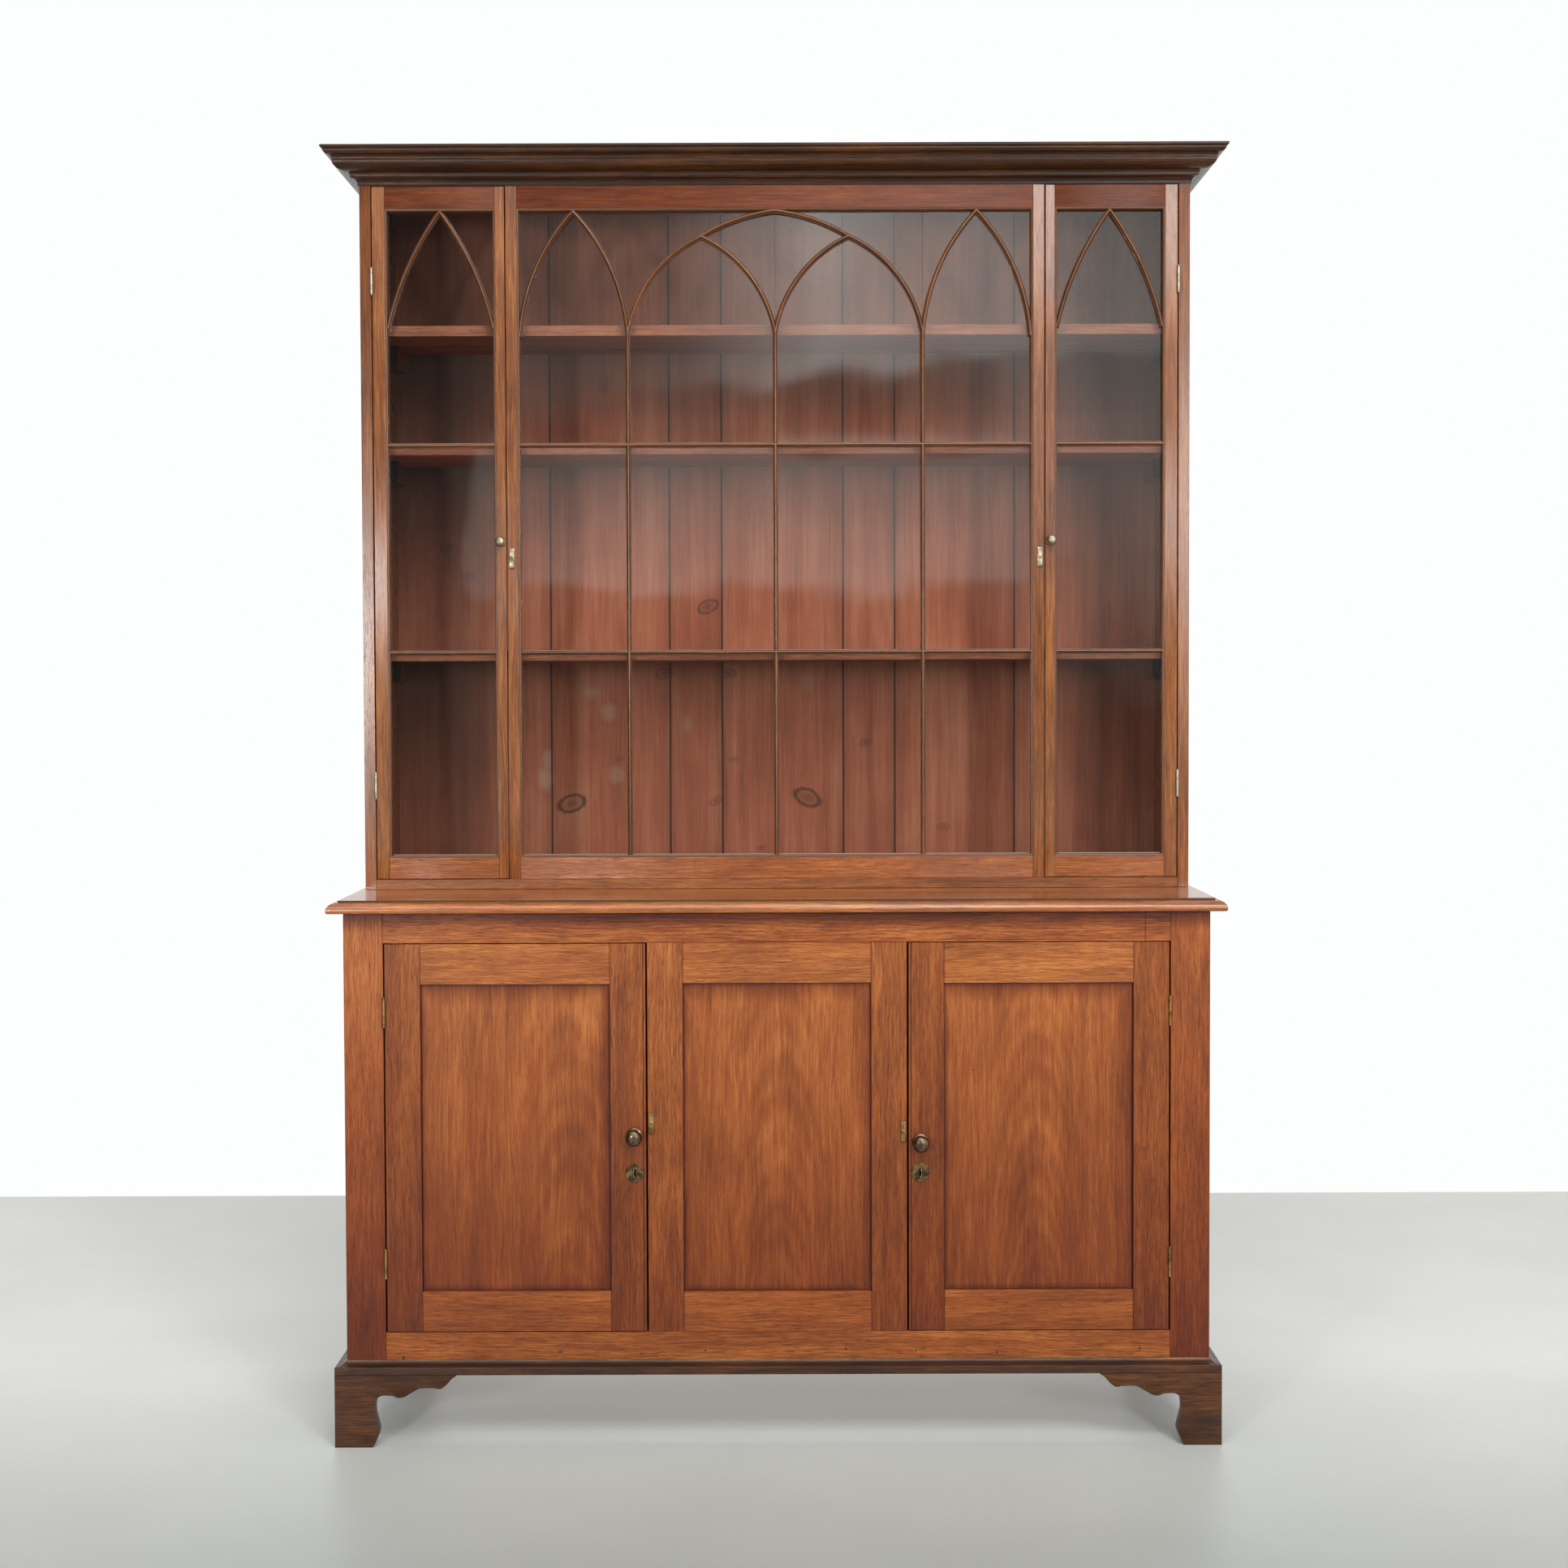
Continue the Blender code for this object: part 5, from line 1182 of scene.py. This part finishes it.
# %% [markdown]
# ## Hinges
# Butt hinges of drawn brass: five knuckles on a pin with rounded tips. One leaf is let into the
# carcase, and its partner into the door's edge, where it shows once the door stands open.

# %% Hinges
KNUCKLE, LEAF = 2.75 * MM, 14 * MM


def barrel(length, radius):
    """A line of (radius, height): each knuckle is a cylinder with a fine groove at its ends."""
    half = length / 2
    cuts = np.linspace(-half, half, 6)
    groove, wide = 0.35 * MM, 0.18 * MM
    inner = [[(radius, cut - wide * 1.6), (radius - groove, cut - wide * 0.5),
              (radius - groove, cut + wide * 0.5), (radius, cut + wide * 1.6)]
             for cut in cuts[1:-1]]
    tip = [(0.001 * MM, -half - 1.4 * MM), (0.8 * MM, -half - 1.3 * MM),
           (1.3 * MM, -half - 0.8 * MM), (1.4 * MM, -half), (radius - 0.3 * MM, -half),
           (radius, -half + 0.3 * MM)]
    line = np.array(tip + sum(inner, []))
    return np.concatenate([line, (np.array(tip) * (1, -1))[::-1]])


def butt_hinge(solid, name, door, sign):
    """Barrel and carcase leaf on the frame, with the door's leaf and screws on the door."""
    low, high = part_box(solid)
    lower = name.startswith("base")
    face, look, gap = (FRONT, BRASS, 2.5 * MM) if lower else (CASE_FACE, PALE_BRASS, 2.0 * MM)
    pin_x = high.x - KNUCKLE if sign > 0 else low.x + KNUCKLE
    length = high.z - low.z - 3.0 * MM
    z = (low.z + high.z) / 2
    pin_y = face - 3.2 * MM
    fixed = pin_x + sign * (gap / 2 - 0.3 * MM)
    x0, x1 = sorted((fixed, fixed - sign * 0.9 * MM))
    leaf = board((x0, pin_y, z - length / 2), (x1, face + LEAF, z + length / 2), "Z",
                 ease=0.15 * MM)[0]
    piece(f"{name}_barrel", "root", "brass", look,
          joined([spun(barrel(length, KNUCKLE), (pin_x, pin_y, z), 28, True), leaf]),
          replaces=[solid])
    swung = pin_x - sign * (gap / 2 - 0.35 * MM)
    x0, x1 = sorted((swung, swung + sign * 0.6 * MM))
    leaf = board((x0, face + 1.0 * MM, z - length / 2 + 0.5 * MM),
                 (x1, face + LEAF, z + length / 2 - 0.5 * MM), "Z", ease=0.12 * MM)[0]
    piece(f"{name}_door_leaf", door, "brass", look, leaf)


for side, sign in SIDES:
    for level in ("low", "high"):
        butt_hinge(f"base_hinge_{side}_{level}", f"base_{side}_{level}_hinge",
                   f"cupboard_door_{side}", sign)
        butt_hinge(f"case_hinge_{side}_{level}", f"case_{side}_{level}_hinge",
                   f"glazed_door_{side}", sign)

# %% [markdown]
# ## Nail holes
# Nails once held the bottom rail. Their heads rusted black and left dark hollows, filled with
# wax. Each is a small lens with an uneven edge, sunk level with the wood.

# %% Old nail holes
def nail_hole(x, z, wide, tall, phase, face):
    """A lens: edge radius = 1 + 0.18 sin(3a + phase) of the hole's size, 0.1 mm proud at most."""
    a = circle(20)[None, :]
    r = np.array([0.001, 0.4, 0.75, 1.0, 1.0, 0.001])[:, None]
    rise = np.array([0.10, 0.10, 0.08, 0.02, -0.6, -0.6])[:, None] * MM
    edge = 1 + 0.18 * np.sin(3 * a + phase)
    cells = np.stack([x + r * edge * wide * np.cos(a), face - rise + 0 * a,
                      z + r * edge * tall * np.sin(a)], -1)
    return skin(cells)


WAX = speckled("black filling wax", 700.0, 3.0, ((0, "#1A0E08"), (1, "#3D2213")), 0.55)
NAILS = ((-0.6517, 0.1518, 2.6), (-0.3791, 0.1609, 2.1), (-0.2379, 0.1576, 1.7),
         (-0.1263, 0.1629, 1.9), (0.118, 0.1649, 2.0), (0.2395, 0.1617, 1.6),
         (0.3807, 0.1584, 2.0), (0.6292, 0.1646, 2.2))
holes = [nail_hole(x, z, size * MM, size * 1.15 * MM, x * 9, FRONT) for x, z, size in NAILS]
piece("nail_holes", "root", "dark_mahogany", WAX, joined(holes))
piece("pin_hole", "cupboard_door_right", "dark_mahogany", WAX,
      nail_hole(0.3406, 0.6512, 1.3 * MM, 1.6 * MM, 0.0, FRONT + 7 * MM))

# %% [markdown]
# ## Room, light and camera
# A pale grey floor under a white backdrop. The backdrop is the world itself, seen by the camera
# and by mirrors, while a dimmer even light falls on the object from all round. Glass and wax
# would look chalky if they mirrored white from the front too, so there they see a dim room. A
# large soft lamp hangs in front and above, a second far and high, and two weaker ones stand out
# to the left and right, where the panes don't mirror them. The camera looks straight at the
# front from eye height, with the lens and place worked out from the picture's perspective.

# %% Floor
FLOOR_END = 1.87
CONCRETE, tree, shader = finish("polished pale concrete")
spot, x, y, _ = own_space(tree)
cloud = noise(tree, spot, 2.2, 6.0)
grit = noise(tree, spot, 60.0, 3.0)
mottle = scaled(tree, grit, 0.25, cloud)
colour = ramped(tree, mottle, ((0, "#D0D0CB"), (1, "#E4E4E0")))
# the floor is darker towards the front and paler towards the cupboard
worn = spread(tree, y, -1.0, 0.25, 0.535, 1.1)
# painted light: the floor under the cupboard is made paler, filling in the shadow it casts there
kept = times(tree, spread(tree, calc(tree, "ABSOLUTE", x), 0.70, 0.78, 1.0, 0.0),
             spread(tree, y, -0.25, -0.14))
# the wood throws a red light on the floor before it, and the floor's own colour makes up for it
near = spread(tree, calc(tree, "ABSOLUTE", x), 0.7, 1.2, -0.035, 0.0)
tints = [scaled(tree, kept, share, calc(tree, "ADD", worn, offset))
         for share, offset in ((0.52, near), (0.64, 0.0), (0.70, 0.0))]
worn = packed(tree, "Color", *tints)
link_up(tree, shader, colour=laid_over(tree, colour, 1.0, worn, "MULTIPLY"))
shader.inputs["Roughness"].default_value = 0.42
mesh = bpy.data.meshes.new("floor")
wide = np.array([-1, 1, 1, -1]) * 9.0
mesh.from_pydata(np.stack([wide, np.array([-9.0, -9.0, FLOOR_END, FLOOR_END]), wide * 0],
                          1).tolist(), [], [[0, 1, 2, 3]])
mesh.materials.append(CONCRETE)
floor = bpy.data.objects.new("floor", mesh)
bpy.context.scene.collection.objects.link(floor)

# %% World
def white_studio():
    """White for the camera and behind; for mirrors the front is a dim room, lighter at right.

    Light from direction d (a unit vector): room = dim + bright x ramp(0.8 dx + dz + noise), with
    a cloudy pale wall above dz 0.045 that ends at the left in a slanted corner, where
    dx - 0.072 dz is -0.13. The white of the backdrop takes over where dy grows from -0.15 to
    0.15.
    """
    world = bpy.data.worlds.new("white studio")
    bpy.context.scene.world = world
    world.use_nodes = True
    tree = world.node_tree
    towards = node(tree, "ShaderNodeTexCoord").outputs["Generated"]
    x, y, z = node(tree, "ShaderNodeSeparateXYZ", {0: towards}).outputs
    haze = clouds(tree, towards, (7.0, 7.0, 4.0), 2.0)
    side = scaled(tree, x, 0.8, z)
    side = scaled(tree, haze, 0.4, side)
    room = spread(tree, side, 0.30, 0.46, 0.08, 1.15)
    # its sill rises a little to the right, and a darker beam parts it at dz 0.103 to 0.126
    sill = spread(tree, scaled(tree, x, -0.04, z), 0.042, 0.047)
    upper = times(tree, spread(tree, x, -0.05, 0.02, 0.45, 1.65),
                  spread(tree, scaled(tree, x, -0.07, z), 0.122, 0.130))
    beam = calc(tree, "MAXIMUM", spread(tree, z, 0.100, 0.106, 1.0, 0.0), upper)
    corner = spread(tree, scaled(tree, z, -0.072, x), -0.1305, -0.1285, 0.12, 1.0)
    # the wall is ribbed sheet, and one bright upright stands before it at the right
    ribs = scaled(tree, calc(tree, "SINE", times(tree, z, 1600.0)), 0.12, 1.0)
    wall = times(tree, haze, sill, beam, spread(tree, x, -0.03, 0.02, 2.0, 3.6),
                 spread(tree, x, 0.045, 0.12, 1.0, 0.4), corner, ribs)
    post = times(tree, spread(tree, apart(tree, x, 0.128), 0.003, 0.005, 1.5, 0.0),
                 spread(tree, z, 0.13, 0.14))
    room = calc(tree, "MAXIMUM", calc(tree, "MAXIMUM", room, post), wall)
    room = between(tree, spread(tree, y, -0.15, 0.15), room, 1.0)
    rays = node(tree, "ShaderNodeLightPath").outputs
    even = 0.55
    power = between(tree, rays["Is Glossy Ray"], even, room)
    seen = calc(tree, "MAXIMUM", rays["Is Camera Ray"], rays["Is Transmission Ray"])
    power = between(tree, seen, power, 1.0)
    shell = tree.nodes["Background"]
    shell.inputs["Color"].default_value = paint("#FDFFFE")
    tree.links.new(power.outputs[0], shell.inputs["Strength"])


white_studio()


# %% Lamps
def lamp(name, place, aim, wide, tall, power):
    """A soft lamp that looks at a point."""
    light = bpy.data.lights.new(name, "AREA")
    light.shape = "RECTANGLE"
    light.size, light.size_y = wide, tall
    light.energy = power
    made = bpy.data.objects.new(name, light)
    made.location = place
    made.rotation_euler = (Vector(aim) - Vector(place)).to_track_quat("-Z", "Y").to_euler()
    bpy.context.scene.collection.objects.link(made)


lamp("roof light", (-0.4, -3.4, 6.0), (-0.1, 0, 0.9), 3.0, 3.0, 84)
lamp("high window", (1.7, -5.2, 5.4), (0, 0, 1.0), 2.6, 2.6, 160)
lamp("left window", (-2.1, -5.5, 1.52), (-0.2, 0, 1.0), 0.5, 0.7, 78)
lamp("right window", (2.2, -5.5, 2.08), (0.2, 0, 1.1), 0.6, 0.9, 72)

# %% Camera
PICTURE, FOCAL, SHIFT = 1932, 3000, -5.6  # pixels: picture's side, focal length, shift
lens = bpy.data.cameras.new("front view")
lens.sensor_width = 36.0
lens.lens = FOCAL / PICTURE * lens.sensor_width
lens.shift_y = SHIFT / PICTURE
camera = bpy.data.objects.new("front view", lens)
camera.location = (0.014, FRONT - 4.199, 1.304)
camera.rotation_euler = (math.radians(90 - 2.01), math.radians(0.19), 0)
bpy.context.scene.collection.objects.link(camera)
bpy.context.scene.camera = camera
bpy.context.scene.view_settings.view_transform = "Standard"
